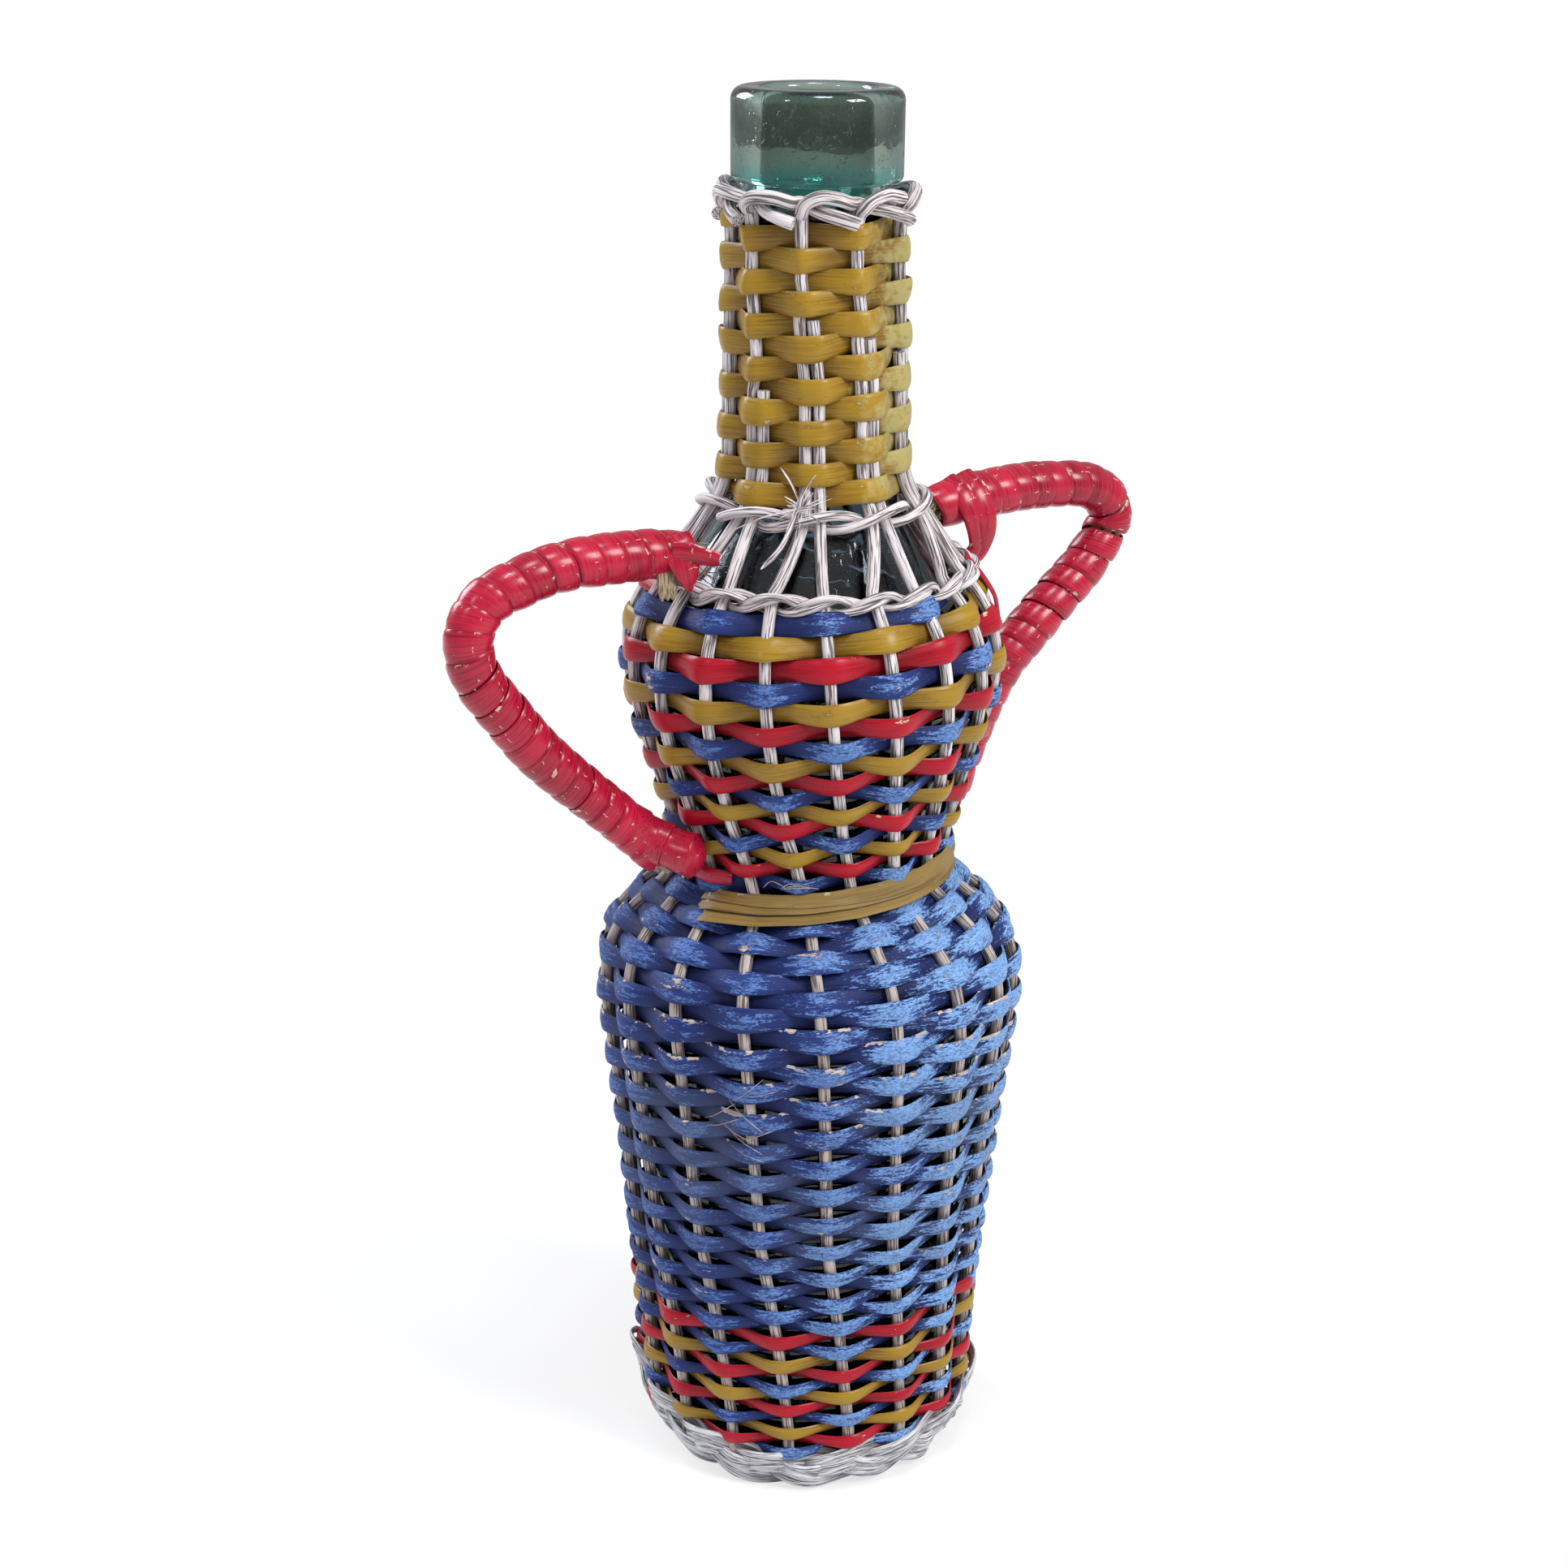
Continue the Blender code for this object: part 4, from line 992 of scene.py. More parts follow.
def make_stake(index):
    """One stake, with a slow random sway along the wall, and its border end if it is a long one."""
    group = group_of(index)
    long_one = side_of(index) in (-1, 0)
    top = S_NECK_TOP - 3.5 * MM if long_one else length_at(PAIR_TOPS[group])
    s = np.linspace(0.0, top, 220)
    sway = rng.uniform(-1, 1) * 0.012 * np.sin(s / (31 * MM) + rng.uniform(0, TAU))
    sway = sway * np.clip(1.0 - (s - S_WAIST) / (S_LOW_RING - S_WAIST), 0.0, 1.0)
    r, z = wall(s)
    path = around(r, stake_angle(index, s) + sway, z)
    radius = np.full(len(path), STAKE_RADIUS * rng.uniform(0.94, 1.05))
    if long_one:
        knots = np.vstack([path[-4:-1:3], border_path(group)])
        turned = curve_through(knots, 110)
        path = np.vstack([path[:-5], turned])
        rise = smooth(np.linspace(0.0, 1.0, EASE_POINTS))
        thick = np.full(len(turned), BORDER_RADIUS * rng.uniform(0.95, 1.04))
        thick[:EASE_POINTS] = radius[0] + (thick[0] - radius[0]) * rise
        radius = np.concatenate([radius[:-5], thick])
    grid = cane_grid(path, radius, 12, shift=37.0 * index, stand=rng.uniform(0.35, 0.85))
    skin(f"cane_stake_{index + 1:02d}", [grid], BARE, [f"stake_{index + 1:02d}"])


for stake_number in range(STAKE_COUNT):
    make_stake(stake_number)

# %% [markdown]
# ## Weaving
#
# A woven strip goes round in a rising spiral. At every second stake it stands outside, and in
# between it ducks behind. Cane is stiff, so between two stakes it runs straight and it bends
# only where it crosses one. The camera looks down on it, so a bend shows as a shallow, round V.
# The strip is worked out in plan first: knots in and out at the stakes, straight runs between,
# corners softened. Its cross section, thin, wide and a little crowned, is then laid on that.

# %% The woven strip
SWING = 2.15 * MM
CREST_HALF = 0.12
STARTS = 3
STRIP_POINTS = 14
STRIP_SIDES = 12
STRIP_CROWN = 0.30 * MM
DROOP = 0.08
# Rows that run on under the wrap at the waist
ROWS_UNDER_WRAP = 1.3


def row_at(row, field):
    """Length along the wall of a row's middle: the pitch grows evenly by the field's ratio.

    A field is the number of rows, its two ends along the wall, and the last pitch over the first.
    """
    rows, low, high, ratio = field
    first = 2.0 / (1.0 + ratio)
    t = row / rows
    return low + (high - low) * (first * t + (ratio * first - first) * t * t / 2)


def plan_path(q, knots, radius, angle, soften=2):
    """Straight runs between knots in plan, softened by averaging neighbours: radius and angle."""
    x = np.interp(q, knots, radius * np.cos(angle))
    y = np.interp(q, knots, radius * np.sin(angle))
    for _ in range(soften):
        x[1:-1] = (x[:-2] + 2 * x[1:-1] + x[2:]) / 4
        y[1:-1] = (y[:-2] + 2 * y[1:-1] + y[2:]) / 4
    return np.hypot(x, y), np.unwrap(np.arctan2(y, x))


def lay_strip(q, middle, half, radius, angle, sides, crown, shift):
    """The strip's section at every place along it.

    The section lies along the wall. Its way out is the plan radius less the wall's, plus a
    rounded thickness and a crown. A slow roll lifts now one edge and now the other.
    """
    across, depth = rounded(sides)
    base = wall(middle)[0]
    slope = np.interp(middle, LINE_S, LINE_NR)
    out = (radius - base) / np.maximum(slope, 0.5)
    ends = np.minimum(q - q[0], q[-1] - q)
    taper = smooth(np.clip(ends / 0.7, 0.0, 1.0))
    out = -SWING + (out + SWING) * taper
    half = half * (0.4 + 0.6 * taper)
    knots = np.arange(math.floor(q[0]) - 1, math.ceil(q[-1]) + 2)
    roll = np.interp(q, knots, rng.normal(0.0, 0.09, len(knots)))
    x = half[:, None] * across
    y = out[:, None] + STRIP_THICK * 0.46 * depth + crown * (1.0 - across ** 2) + roll[:, None] * x
    r, z = wall(middle[:, None] + x, y)
    grid = around(r, angle[:, None], z)
    length = lengths_of(grid[:, 0]) / MM
    lay = strip_lay(length, x, depth, shift, shift)
    tone = np.interp(q, knots, rng.uniform(-0.28, 0.28, len(knots)))
    # Darker where the strip ducks in behind a stake and towards its edges: painted shade; the random tone
    # is the cane's own.
    stand = np.clip(0.5 + 0.5 * out / SWING + tone, 0.0, 1.0)[:, None] * np.ones(sides)
    stand = stand * (1.0 - 0.35 * across[None, :] ** 4)
    return grid, lay, stand, np.broadcast_to(across, x.shape)


def woven_grid(field, lane, first_row, last_row, fullness=(1.19, 1.32), pinch=(0.28, 0.10), shift=0.0,
               soften=6):
    """A strip woven round the stakes; q counts stakes along it and rows climb by STARTS a turn.

    Each stake has two knots, CREST_HALF of a step before it and after it, so the bend is round.
    """
    begin = max(STAKE_COUNT * (first_row - lane - 0.5) / STARTS, -STAKE_COUNT * 2.0)
    end = STAKE_COUNT * (last_row - lane - 0.5) / STARTS
    knots = np.arange(math.floor(begin), math.ceil(end) + 1)
    q = np.linspace(begin, end, int((end - begin) * STRIP_POINTS) + 1)
    knot_s = row_at(0.5 + lane + STARTS * knots / STAKE_COUNT, field)
    side = np.where((knots + lane) % 2 == 1, 1.0, -1.0)
    both = np.stack([knots - CREST_HALF, knots + CREST_HALF], axis=1).ravel()
    both_angle = settle(TAU * both / STAKE_COUNT, np.repeat(knot_s, 2))
    slope = np.interp(knot_s, LINE_S, LINE_NR)
    knot_radius = wall(knot_s)[0] + side * SWING * slope * rng.uniform(0.97, 1.08, len(knots))
    radius, angle = plan_path(q, both, np.repeat(knot_radius, 2), both_angle, soften)
    row = 0.5 + lane + STARTS * q / STAKE_COUNT
    middle = row_at(row, field)
    pitch = row_at(row + 0.5, field) - row_at(row - 0.5, field)
    crest = np.abs(np.interp(q, knots, side))
    squeeze = np.interp(row, (0, field[0]), pinch)
    full = np.interp(row, (0, field[0]), fullness)
    width = np.interp(q, knots, rng.uniform(0.93, 1.06, len(knots)))
    half = pitch * full / 2 * width * (1.0 - squeeze * (1.0 - crest))
    lift = np.interp(q, knots, rng.normal(0, 0.05, len(knots)) - DROOP * side)
    return lay_strip(q, middle + pitch * lift, half, radius, angle, STRIP_SIDES, STRIP_CROWN, shift)


# %% [markdown]
# ## The skirt
#
# The lowest rows are woven in red, blue and ochre. Higher up all three strips are blue. A
# strip that changes colour was simply cut at a stake and the next one laid in its place.

# %% Weave the skirt
SKIRT_ROWS = 38
SKIRT_COLOUR_ROWS = 10.7
SKIRT = (SKIRT_ROWS, length_at(11.3 * MM), S_WAIST - 4.5 * MM, 1.62)
SKIRT_LANES = (("ochre", OCHRE, "ochre_cane"), ("blue", BLUE, "blue_cane"), ("red", RED, "red_cane"))
for lane, (colour, finish, slot_name) in enumerate(SKIRT_LANES):
    low = woven_grid(SKIRT, lane, 0.0, SKIRT_COLOUR_ROWS + 0.25, shift=211.0 * lane)
    skin(f"skirt_strip_{colour}", [low], finish, [f"skirt_band_{colour}"])
    high = woven_grid(SKIRT, lane, SKIRT_COLOUR_ROWS - 0.05, SKIRT_ROWS + ROWS_UNDER_WRAP,
                      shift=211.0 * lane + 97)
    skin(f"skirt_strip_upper_{lane + 1}", [high], BLUE, [f"skirt_weaver_blue_{lane + 1}"])

# %% Weave the bust
BUST_ROWS = 15
RING_DROP = 3.0 * MM
BUST_FIELD = (BUST_ROWS, S_WAIST + 7 * MM, S_LOW_RING - RING_DROP - 2.0 * MM, 1.52)
BUST_LANES = (("blue", BLUE, "blue_cane"), ("red", RED, "red_cane"), ("ochre", OCHRE, "ochre_cane"))
for lane, (colour, finish, slot_name) in enumerate(BUST_LANES):
    strip = woven_grid(BUST_FIELD, lane, -ROWS_UNDER_WRAP, BUST_ROWS, fullness=(1.17, 1.13),
                       pinch=(0.14, 0.12), shift=173.0 * lane + 50, soften=5)
    skin(f"bust_strip_{colour}", [strip], finish, [f"bust_weaver_{colour}"])

# %% [markdown]
# ## The neck
#
# Here one broad ochre strip goes round nine groups of stakes. Where a group is still a pair,
# the strip lies flat across both, so it has two knots at each group, one at either side.

# %% Weave the neck
NECK_ROWS = 13
NECK_FIELD = (NECK_ROWS, length_at(270.7 * MM), S_NECK_TOP, 1.0)
# Groups of stakes that the neck's strip passes, counted along it
NECK_FIRST = -5
NECK_LAST = 113


def neck_grid(per_group=26, sides=14):
    """The neck's strip: out at one group and in at the next, once round for each row."""
    q = np.linspace(NECK_FIRST, NECK_LAST, (NECK_LAST - NECK_FIRST) * per_group + 1)
    knots = np.arange(NECK_FIRST, NECK_LAST + 1)
    pitch = (NECK_FIELD[2] - NECK_FIELD[1]) / NECK_ROWS
    knot_s = row_at(0.5 + knots / GROUP_COUNT, NECK_FIELD)
    side = np.where(knots % 2 == 0, 1.0, -1.0)
    base = wall(knot_s)[0]
    group = knots % GROUP_COUNT
    tops = np.array([length_at(top) for top in PAIR_TOPS])
    paired = np.clip((tops[group] + PAIR_CLOSING - knot_s) / PAIR_CLOSING, 0.0, 1.0)
    spread = (0.7 * MM + GROUP_HALVES[group] * paired) / base
    middle_angle = group_angle(knots) + lean(knot_s)
    both = np.stack([knots - 0.1, knots + 0.1], axis=1).ravel()
    both_angle = np.stack([middle_angle - spread, middle_angle + spread], axis=1).ravel()
    reach = rng.uniform(0.94, 1.08, len(knots))
    both_radius = np.repeat(base + side * SWING * reach, 2)
    radius, angle = plan_path(q, both, both_radius, both_angle, 8)
    crest = np.abs(np.interp(q, both, np.repeat(side, 2)))
    width = np.interp(q, knots, rng.uniform(0.92, 1.06, len(knots)))
    half = pitch * 1.27 / 2 * width * (1.0 - 0.12 * (1.0 - crest))
    lift = np.interp(q, knots, rng.normal(0, 0.045, len(knots)) - 0.06 * side)
    middle = row_at(0.5 + q / GROUP_COUNT, NECK_FIELD) + pitch * lift
    return lay_strip(q, middle, half, radius, angle, sides, 0.34 * MM, 420.0)


skin("neck_strip", [neck_grid()], OCHRE, ["neck_weaver"])

# %% [markdown]
# ## The wrap at the waist
#
# The waist is bound with a few turns of flat ochre cane, each lying partly on the one below.
# It climbs to the right like the rows and wanders a little. On the left it goes under the
# skirt's highest rows.

# %% Wrap the waist
WRAP_TURNS = 3
WRAP_PITCH = 3.1 * MM
WRAP_HALF_WIDTH = 2.5 * MM


def waist_grid(per_turn=150, sides=14):
    """A spiral of WRAP_TURNS turns; each turn leans out at its lower edge, over the last one."""
    q = np.linspace(0.0, WRAP_TURNS, WRAP_TURNS * per_turn + 1)
    front = TAU * q - FRONT
    wander = 0.6 * MM * np.sin(TAU * q * 1.31 + 0.8)
    tilt = (-2.0 + 3.6 * np.sin(front) - 1.5 * np.cos(front)) * MM
    middle = S_WAIST - 4.6 * MM + WRAP_PITCH * q + wander + tilt
    half = WRAP_HALF_WIDTH * (1.0 + 0.12 * np.sin(TAU * q * 2.7))
    hidden = smooth(np.clip((np.cos(front + math.radians(88.0)) - 0.62) / 0.25, 0.0, 1.0))
    across, depth = rounded(sides, 0.6)
    x = half[:, None] * across
    ripple = 0.16 * MM * np.cos(STAKE_COUNT * TAU * q)
    y = (2.45 - 5.3 * hidden[:, None]) * MM + ripple[:, None] + 0.30 * MM * depth - 0.62 * MM * across
    r, z = wall(middle[:, None] + x, y)
    grid = around(r, TAU * q[:, None], z)
    length = TAU * WAIST_RADIUS * q / MM
    lay = strip_lay(length, x, depth, across=140.0)
    stand = 0.62 + 0.25 * np.cos(TAU * q * 5.3)[:, None] * np.ones(sides)
    # The edges of each turn are darker: painted shade.
    return grid, lay, stand * (1.0 - 0.5 * across ** 8), np.broadcast_to(across, x.shape)


skin("waist_binding", [waist_grid()], WRAP, ["waist_wrap"])

# %% [markdown]
# ## The twined rings
#
# A twined ring is two strands that swap places between the stakes: one passes outside a stake
# while the other passes behind it. Going out and in as a cosine and up and down as a sine
# makes each turn round the other, half a turn from stake to stake. In the lower ring each
# strand is itself two thin canes side by side, which gives it its look of rope.

# %% Twine the rings
THIN_RADIUS = 0.96 * MM
THICK_RADIUS = 1.30 * MM
TWIST_LENGTH = 34.0 * MM


def twined(s_ring, count, angle_of, swing, rise, per_stake=22):
    """Two strands as one endless path: it goes twice round, so an odd count joins up."""
    q = np.arange(2 * count * per_stake) / per_stake
    turn = math.pi * q
    sway = 0.14 * MM * np.sin(q * 1.7) + 0.1 * MM * np.sin(q * 0.61 + 1)
    r, z = wall(s_ring + rise * np.sin(turn) + sway, swing * np.cos(turn))
    return around(r, angle_of(q), z)


def twisted_pair(path, shade_at):
    """Two thin canes round an endless path, half a turn apart, in a whole number of twists."""
    length = lengths_of(path)
    whole = length[-1] + np.linalg.norm(path[0] - path[-1])
    twists = round(whole / TWIST_LENGTH)
    turn = TAU * twists * length / whole
    tangent = tangents(path, loop=True)
    outward = square_to(tangent, path * IN_PLAN)
    side = np.cross(tangent, outward)
    grids = []
    for half_turn in (0.0, math.pi):
        offset = outward * np.cos(turn + half_turn)[:, None] + side * np.sin(turn + half_turn)[:, None]
        grids.append(cane_grid(path + offset * THIN_RADIUS * 0.9, THIN_RADIUS, 8, loop=True,
                               shift=61.0 + 40 * half_turn, stand=shade_at))
    return grids


low_path = twined(S_LOW_RING - RING_DROP, STAKE_COUNT,
                  lambda q: settle(TAU * q / STAKE_COUNT, S_LOW_RING), 2.9 * MM, 1.15 * MM)
skin("twined_shoulder_ring", twisted_pair(low_path, 0.65), BARE, ["shoulder_ring"], closed=True)
high_path = twined(S_HIGH_RING - 2.2 * MM, GROUP_COUNT, lambda q: group_angle(q) + lean(S_HIGH_RING),
                   3.1 * MM, 1.7 * MM, per_stake=40)
high_strand = cane_grid(high_path, np.full(len(high_path), THICK_RADIUS), 12, loop=True, stand=0.7)
skin("twined_neck_ring", [high_strand], BARE, ["neck_ring"], closed=True)

# %% [markdown]
# ## The handles
#
# A handle is a bundle of canes bent to shape and bound from end to end with flat red cane.
# The binding is a strip wound in a helix. Its edge overlaps the turn before it, so the
# surface climbs in small steps, and that saw-tooth is what catches the light.

# %% Handle paths
HANDLE_OUTLINE = {
    -1: np.array([(-36, 255.5), (-44, 256.6), (-53, 257), (-62, 257.2), (-71, 257), (-79, 256),
                  (-86, 254), (-94, 251), (-98.6, 245.5), (-99.6, 239), (-97, 231), (-89, 220),
                  (-82, 211), (-73, 202), (-61, 191), (-51, 181.5), (-44, 174)]) * MM,
    1: np.array([(36, 258.5), (44, 260), (57, 261), (66, 261.4), (74, 261.2), (82, 260.6), (89, 259.5),
                 (96, 255.5), (98, 249), (94.5, 243), (89, 236.5), (79, 228), (70, 220), (63, 213.5),
                 (57, 205), (52, 195), (47, 184), (43.5, 174)]) * MM}
HANDLE_RADIUS = 5.75 * MM
HANDLE_TURNS = 24
BINDING_MARGIN = 3.0 * MM
CORE_CANE = 1.6 * MM
CORE_REACH = 2.9 * MM
# Share of the full thickness at the top end: left, right
TOP_SLIM = {-1: 0.80, 1: 0.98}


def handle_path(side, count=400):
    """The handle's middle line in the XZ plane, as points in space."""
    line = curve_through(HANDLE_OUTLINE[side], count)
    return np.stack([line[:, 0], np.zeros(count), line[:, 1]], axis=1)


def path_axes(path):
    """The two axes across a path in the XZ plane: one in the plane and one along Y."""
    tangent = tangents(path)
    across = np.stack([-tangent[:, 2], np.zeros(len(path)), tangent[:, 0]], axis=1)
    return across, np.cross(tangent, across)


def slimmed(length, whole, side):
    """Thickness along a handle: full in the middle, TOP_SLIM at its top end, 0.94 at its foot."""
    top = TOP_SLIM[side] + (1.0 - TOP_SLIM[side]) * smooth(np.clip(length / (14 * MM), 0.0, 1.0))
    foot = 0.94 + 0.06 * smooth(np.clip((whole - length) / (16 * MM), 0.0, 1.0))
    return top * foot


def binding_grid(side, per_turn=44, sides=12):
    """The red strip: a helix round the path, its leading edge lifted over the turn before."""
    path = handle_path(side)
    length = lengths_of(path)
    across, level = path_axes(path)
    turns = HANDLE_TURNS
    bound = length[-1] - 2 * BINDING_MARGIN
    q = np.linspace(0.0, turns, turns * per_turn + 1)
    knots = np.linspace(0.0, turns, turns + 1)
    uneven = np.cumsum(np.concatenate([[0.0], rng.uniform(0.78, 1.22, turns)]))
    along = BINDING_MARGIN + bound * np.interp(q, knots, uneven / uneven[-1])
    pitch = bound / turns
    wide, deep = rounded(sides, 0.6)
    fullness = np.interp(q, knots, rng.uniform(0.52, 0.60, turns + 1))
    x = (pitch * fullness)[:, None] * wide
    lift = np.interp(q, knots, rng.uniform(0.15, 0.42, turns + 1))[:, None] * MM
    at = np.clip(along[:, None] + x, 0.0, length[-1])
    body = HANDLE_RADIUS * slimmed(at, length[-1], side) * (1.0 + 0.03 * np.sin(at / (13 * MM)))
    radius = body + lift * wide * side + 0.38 * MM * deep + 0.22 * MM * (1 - wide ** 2)
    u_axis = unit(read_along(at, length, across))
    v_axis = read_along(at, length, level)
    angle = TAU * q[:, None]
    ring = u_axis * np.cos(angle)[..., None] + v_axis * np.sin(angle)[..., None]
    grid = read_along(at, length, path) + ring * radius[..., None]
    around_length = TAU * HANDLE_RADIUS * q / MM
    lay = strip_lay(around_length, x, deep, along=311.0 * (side + 1))
    tone = np.interp(q, knots, rng.uniform(0.35, 0.9, turns + 1))
    # Darker towards the strip's edges, where it laps the next turn: painted shade.
    stand = tone[:, None] * np.ones(sides) * (1.0 - 0.45 * wide[None, :] ** 6)
    return grid, lay, stand, np.broadcast_to(np.abs(wide), x.shape)


def core_grids(side, strands=7):
    """The bundle inside: canes side by side, six round one, a little longer than the binding."""
    path = handle_path(side)
    across, level = path_axes(path)
    length = lengths_of(path)
    slim = slimmed(length, length[-1], side)
    grids = []
    for k in range(strands):
        reach = 0.0 if k == 0 else CORE_REACH
        turn = TAU * k / (strands - 1)
        offset = (across * math.cos(turn) + level * math.sin(turn)) * (reach * slim)[:, None]
        cut = int(rng.integers(0, 7))
        keep = slice(cut, len(path) - cut)
        grids.append(cane_grid((path + offset)[keep], CORE_CANE * slim[keep], 8, shift=71.0 * k,
                               outward=level[keep]))
    return grids


for side, word in ((-1, "left"), (1, "right")):
    skin(f"handle_bundle_{word}", core_grids(side), RAW, [f"handle_core_{word}"])
    skin(f"handle_binding_{word}", [binding_grid(side)], BOUND_RED, [f"handle_wrap_{word}"])

# %% [markdown]
# ## The plaited foot
#
# The foot is a thick plait that goes once round: three bundles of flat canes that cross over
# and under. Seen from outside each bundle runs slantwise, up over its neighbour and down
# behind it. A bundle's path is a wave up and down and a wave twice as quick in and out. The
# plait stands higher at the sides than at the front, and its lower edge is tucked in.

# %% Plait the foot
FOOT_MIDDLE_RADIUS = 45.2 * MM
# Degrees to the right of the front, height in mm
FOOT_HEIGHTS = np.array([(-180, 23), (-90, 31), (-55, 21), (-25, 14.6), (0, 13.4), (40, 15.5), (90, 21),
                         (180, 23)])
FOOT_LAP = 2.6 * MM
TUCK_IN_FRONT = 2.4 * MM
TUCK_AT_SIDES = 4.6 * MM
PLAITS = 5
BUNDLES = 3
BUNDLE_CANES = 5
PLAIT_CANE = 1.05 * MM
CANE_STEP = 0.10


def foot_height(angle):
    """Top of the plait in metres at an angle, read off the few heights seen in the picture."""
    turned = np.degrees(angle - FRONT)
    turned = (turned + 180.0) % 360.0 - 180.0
    return np.interp(turned, FOOT_HEIGHTS[:, 0], FOOT_HEIGHTS[:, 1]) * MM


def flank(angle):
    """0 at the front and back of the foot and 1 at its sides: sin(angle - 8 degrees) squared."""
    return np.sin(angle - FRONT - math.radians(8.0)) ** 2


def foot_radius(angle, z, top):
    """Radius of the plait's middle: at the sides its top laps over the rows, its edge is tucked in.

    The lap is FOOT_LAP times flank; the tuck grows with (1 - z / top) to the power 1.5.
    """
    lap = FOOT_LAP * flank(angle)
    tuck = TUCK_IN_FRONT + TUCK_AT_SIDES * flank(angle) + lap
    return FOOT_MIDDLE_RADIUS + lap - tuck * np.clip(1.0 - z / top, 0.0, 1.0) ** 1.5


def plait_grids(strand):
    """The canes of one of the bundles of the plait."""
    count = 720
    angle = TAU * np.arange(count) / count
    phase = PLAITS * angle + TAU * strand / BUNDLES
    top = foot_height(angle)
    grids = []
    for k in range(BUNDLE_CANES):
        spread = (k - (BUNDLE_CANES - 1) / 2) * top * CANE_STEP
        wander = 0.5 * MM * np.sin(angle * int(rng.integers(7, 15)) + rng.uniform(0, TAU))
        room = top / 2 - (BUNDLE_CANES - 1) / 2 * top * CANE_STEP - PLAIT_CANE - 0.5 * MM
        z = top / 2 + room * np.sin(phase) + spread + wander
        out = 1.5 * MM * np.sin(2 * phase) + rng.uniform(-0.5, 0.5) * MM
        path = around(foot_radius(angle, z, top) + out, angle, z)
        radius = PLAIT_CANE * rng.uniform(0.9, 1.12)
        # Darker where the bundle turns inwards: painted shade.
        tone = 0.5 + 0.45 * np.sin(2 * phase)
        grids.append(cane_grid(path, np.full(count, radius), 8, loop=True, flat=0.55,
                               shift=53.0 * (3 * strand + k), stand=tone))
    return grids


plait = [grid for strand in range(BUNDLES) for grid in plait_grids(strand)]
skin("foot_plait", plait, WHITENED, ["foot_braid"], closed=True)

# %% [markdown]
# ## The base
#
# Under the glass the basket has a round woven base, which only shows from below: spokes, and
# a cane that spirals out over and under them.

# %% Weave the base
BASE_MIDDLE = 3.0 * MM
BASE_RADIUS = 40.5 * MM
BASE_PITCH = 2.9 * MM
SPOKES = 21
SPOKE_POINTS = 30
COIL_POINTS = 8


def base_grids():
    """Spokes across the base, and a flat spiral that waves over and under them."""
    grids = []
    for k in range(SPOKES):
        angle = TAU * k / SPOKES
        r = np.linspace(2 * MM, BASE_RADIUS, SPOKE_POINTS)
        path = around(r, np.full(SPOKE_POINTS, angle), np.full(SPOKE_POINTS, BASE_MIDDLE))
        upward = np.broadcast_to(np.array(UP), path.shape)
        grids.append(cane_grid(path, np.full(SPOKE_POINTS, 1.2 * MM), 8, flat=0.6, shift=9.0 * k,
                               outward=upward))
    turns = (BASE_RADIUS - 4 * MM) / BASE_PITCH
    q = np.linspace(0.0, turns * SPOKES, int(turns * SPOKES * COIL_POINTS))
    r = 3.5 * MM + BASE_PITCH * q / SPOKES
    wave = np.cos(math.pi * q)
    across, depth = rounded(10)
    x = 1.25 * MM * across
    z = BASE_MIDDLE + 0.85 * MM * wave[:, None] + 0.42 * MM * depth
    grid = around(r[:, None] + x, TAU * q[:, None] / SPOKES, z)
    length = np.cumsum(r) * TAU / SPOKES / COIL_POINTS / MM
    lay = strip_lay(length, np.broadcast_to(x, z.shape), depth, across=33)
    # Darker where the spiral lies deeper in the base: painted shade.
    grids.append((grid, lay, (0.5 - 0.4 * wave)[:, None] * np.ones(10), 0.0))
    return grids


skin("woven_base", base_grids(), RAW, ["base_mat"])

# %% [markdown]
# ## Loose ends
#
# Old wicker frays. A broken cane opens into a brush of fibres, splinters lift off a ring, and
# dust and threads hang between the rows. Each fibre is a very thin cane on a short curve that
# starts in one place and wanders off in its own direction.

# %% Fibres
def spot(angle_from_front, z, out):
    """A point on the wicker: degrees to the right of the front, height in mm, mm off the line."""
    r = wall(length_at(z * MM))[0] + out * MM
    angle = FRONT + math.radians(angle_from_front)
    return np.array([r * math.cos(angle), r * math.sin(angle), z * MM])


def frayed(start, heading, count, reach, spread, radius=0.16 * MM):
    """A brush of fibres from one place: each bends off the heading by a random amount."""
    grids = []
    for k in range(count):
        aim = unit(heading + rng.normal(0, spread, 3))
        bend = rng.normal(0, 0.35, 3)
        t = np.linspace(0.0, 1.0, 12)[:, None]
        size = reach * rng.uniform(0.45, 1.0)
        path = start + rng.normal(0, 0.5 * MM, 3) + size * (aim * t + bend * t * t * 0.5)
        thin = radius * rng.uniform(0.6, 1.7) * (1.0 - 0.75 * t[:, 0])
        sideways = np.broadcast_to(unit(np.cross(aim, np.array([0.31, 0.22, 0.92]))), path.shape)
        grids.append(cane_grid(path, thin, 5, shift=13.0 * k, stand=0.9, outward=sideways))
    return grids


def thread(points, radius, stand=0.9):
    """A single fibre or splinter through given points, thinner towards both ends."""
    path = curve_through(np.array(points), 30)
    t = np.linspace(-1.0, 1.0, 30)
    sideways = np.broadcast_to(np.array([0.2, 0.3, 0.93]), path.shape)
    return cane_grid(path, radius * (1.0 - 0.8 * t ** 4), 6, stand=stand, outward=sideways, wobble=0.2)


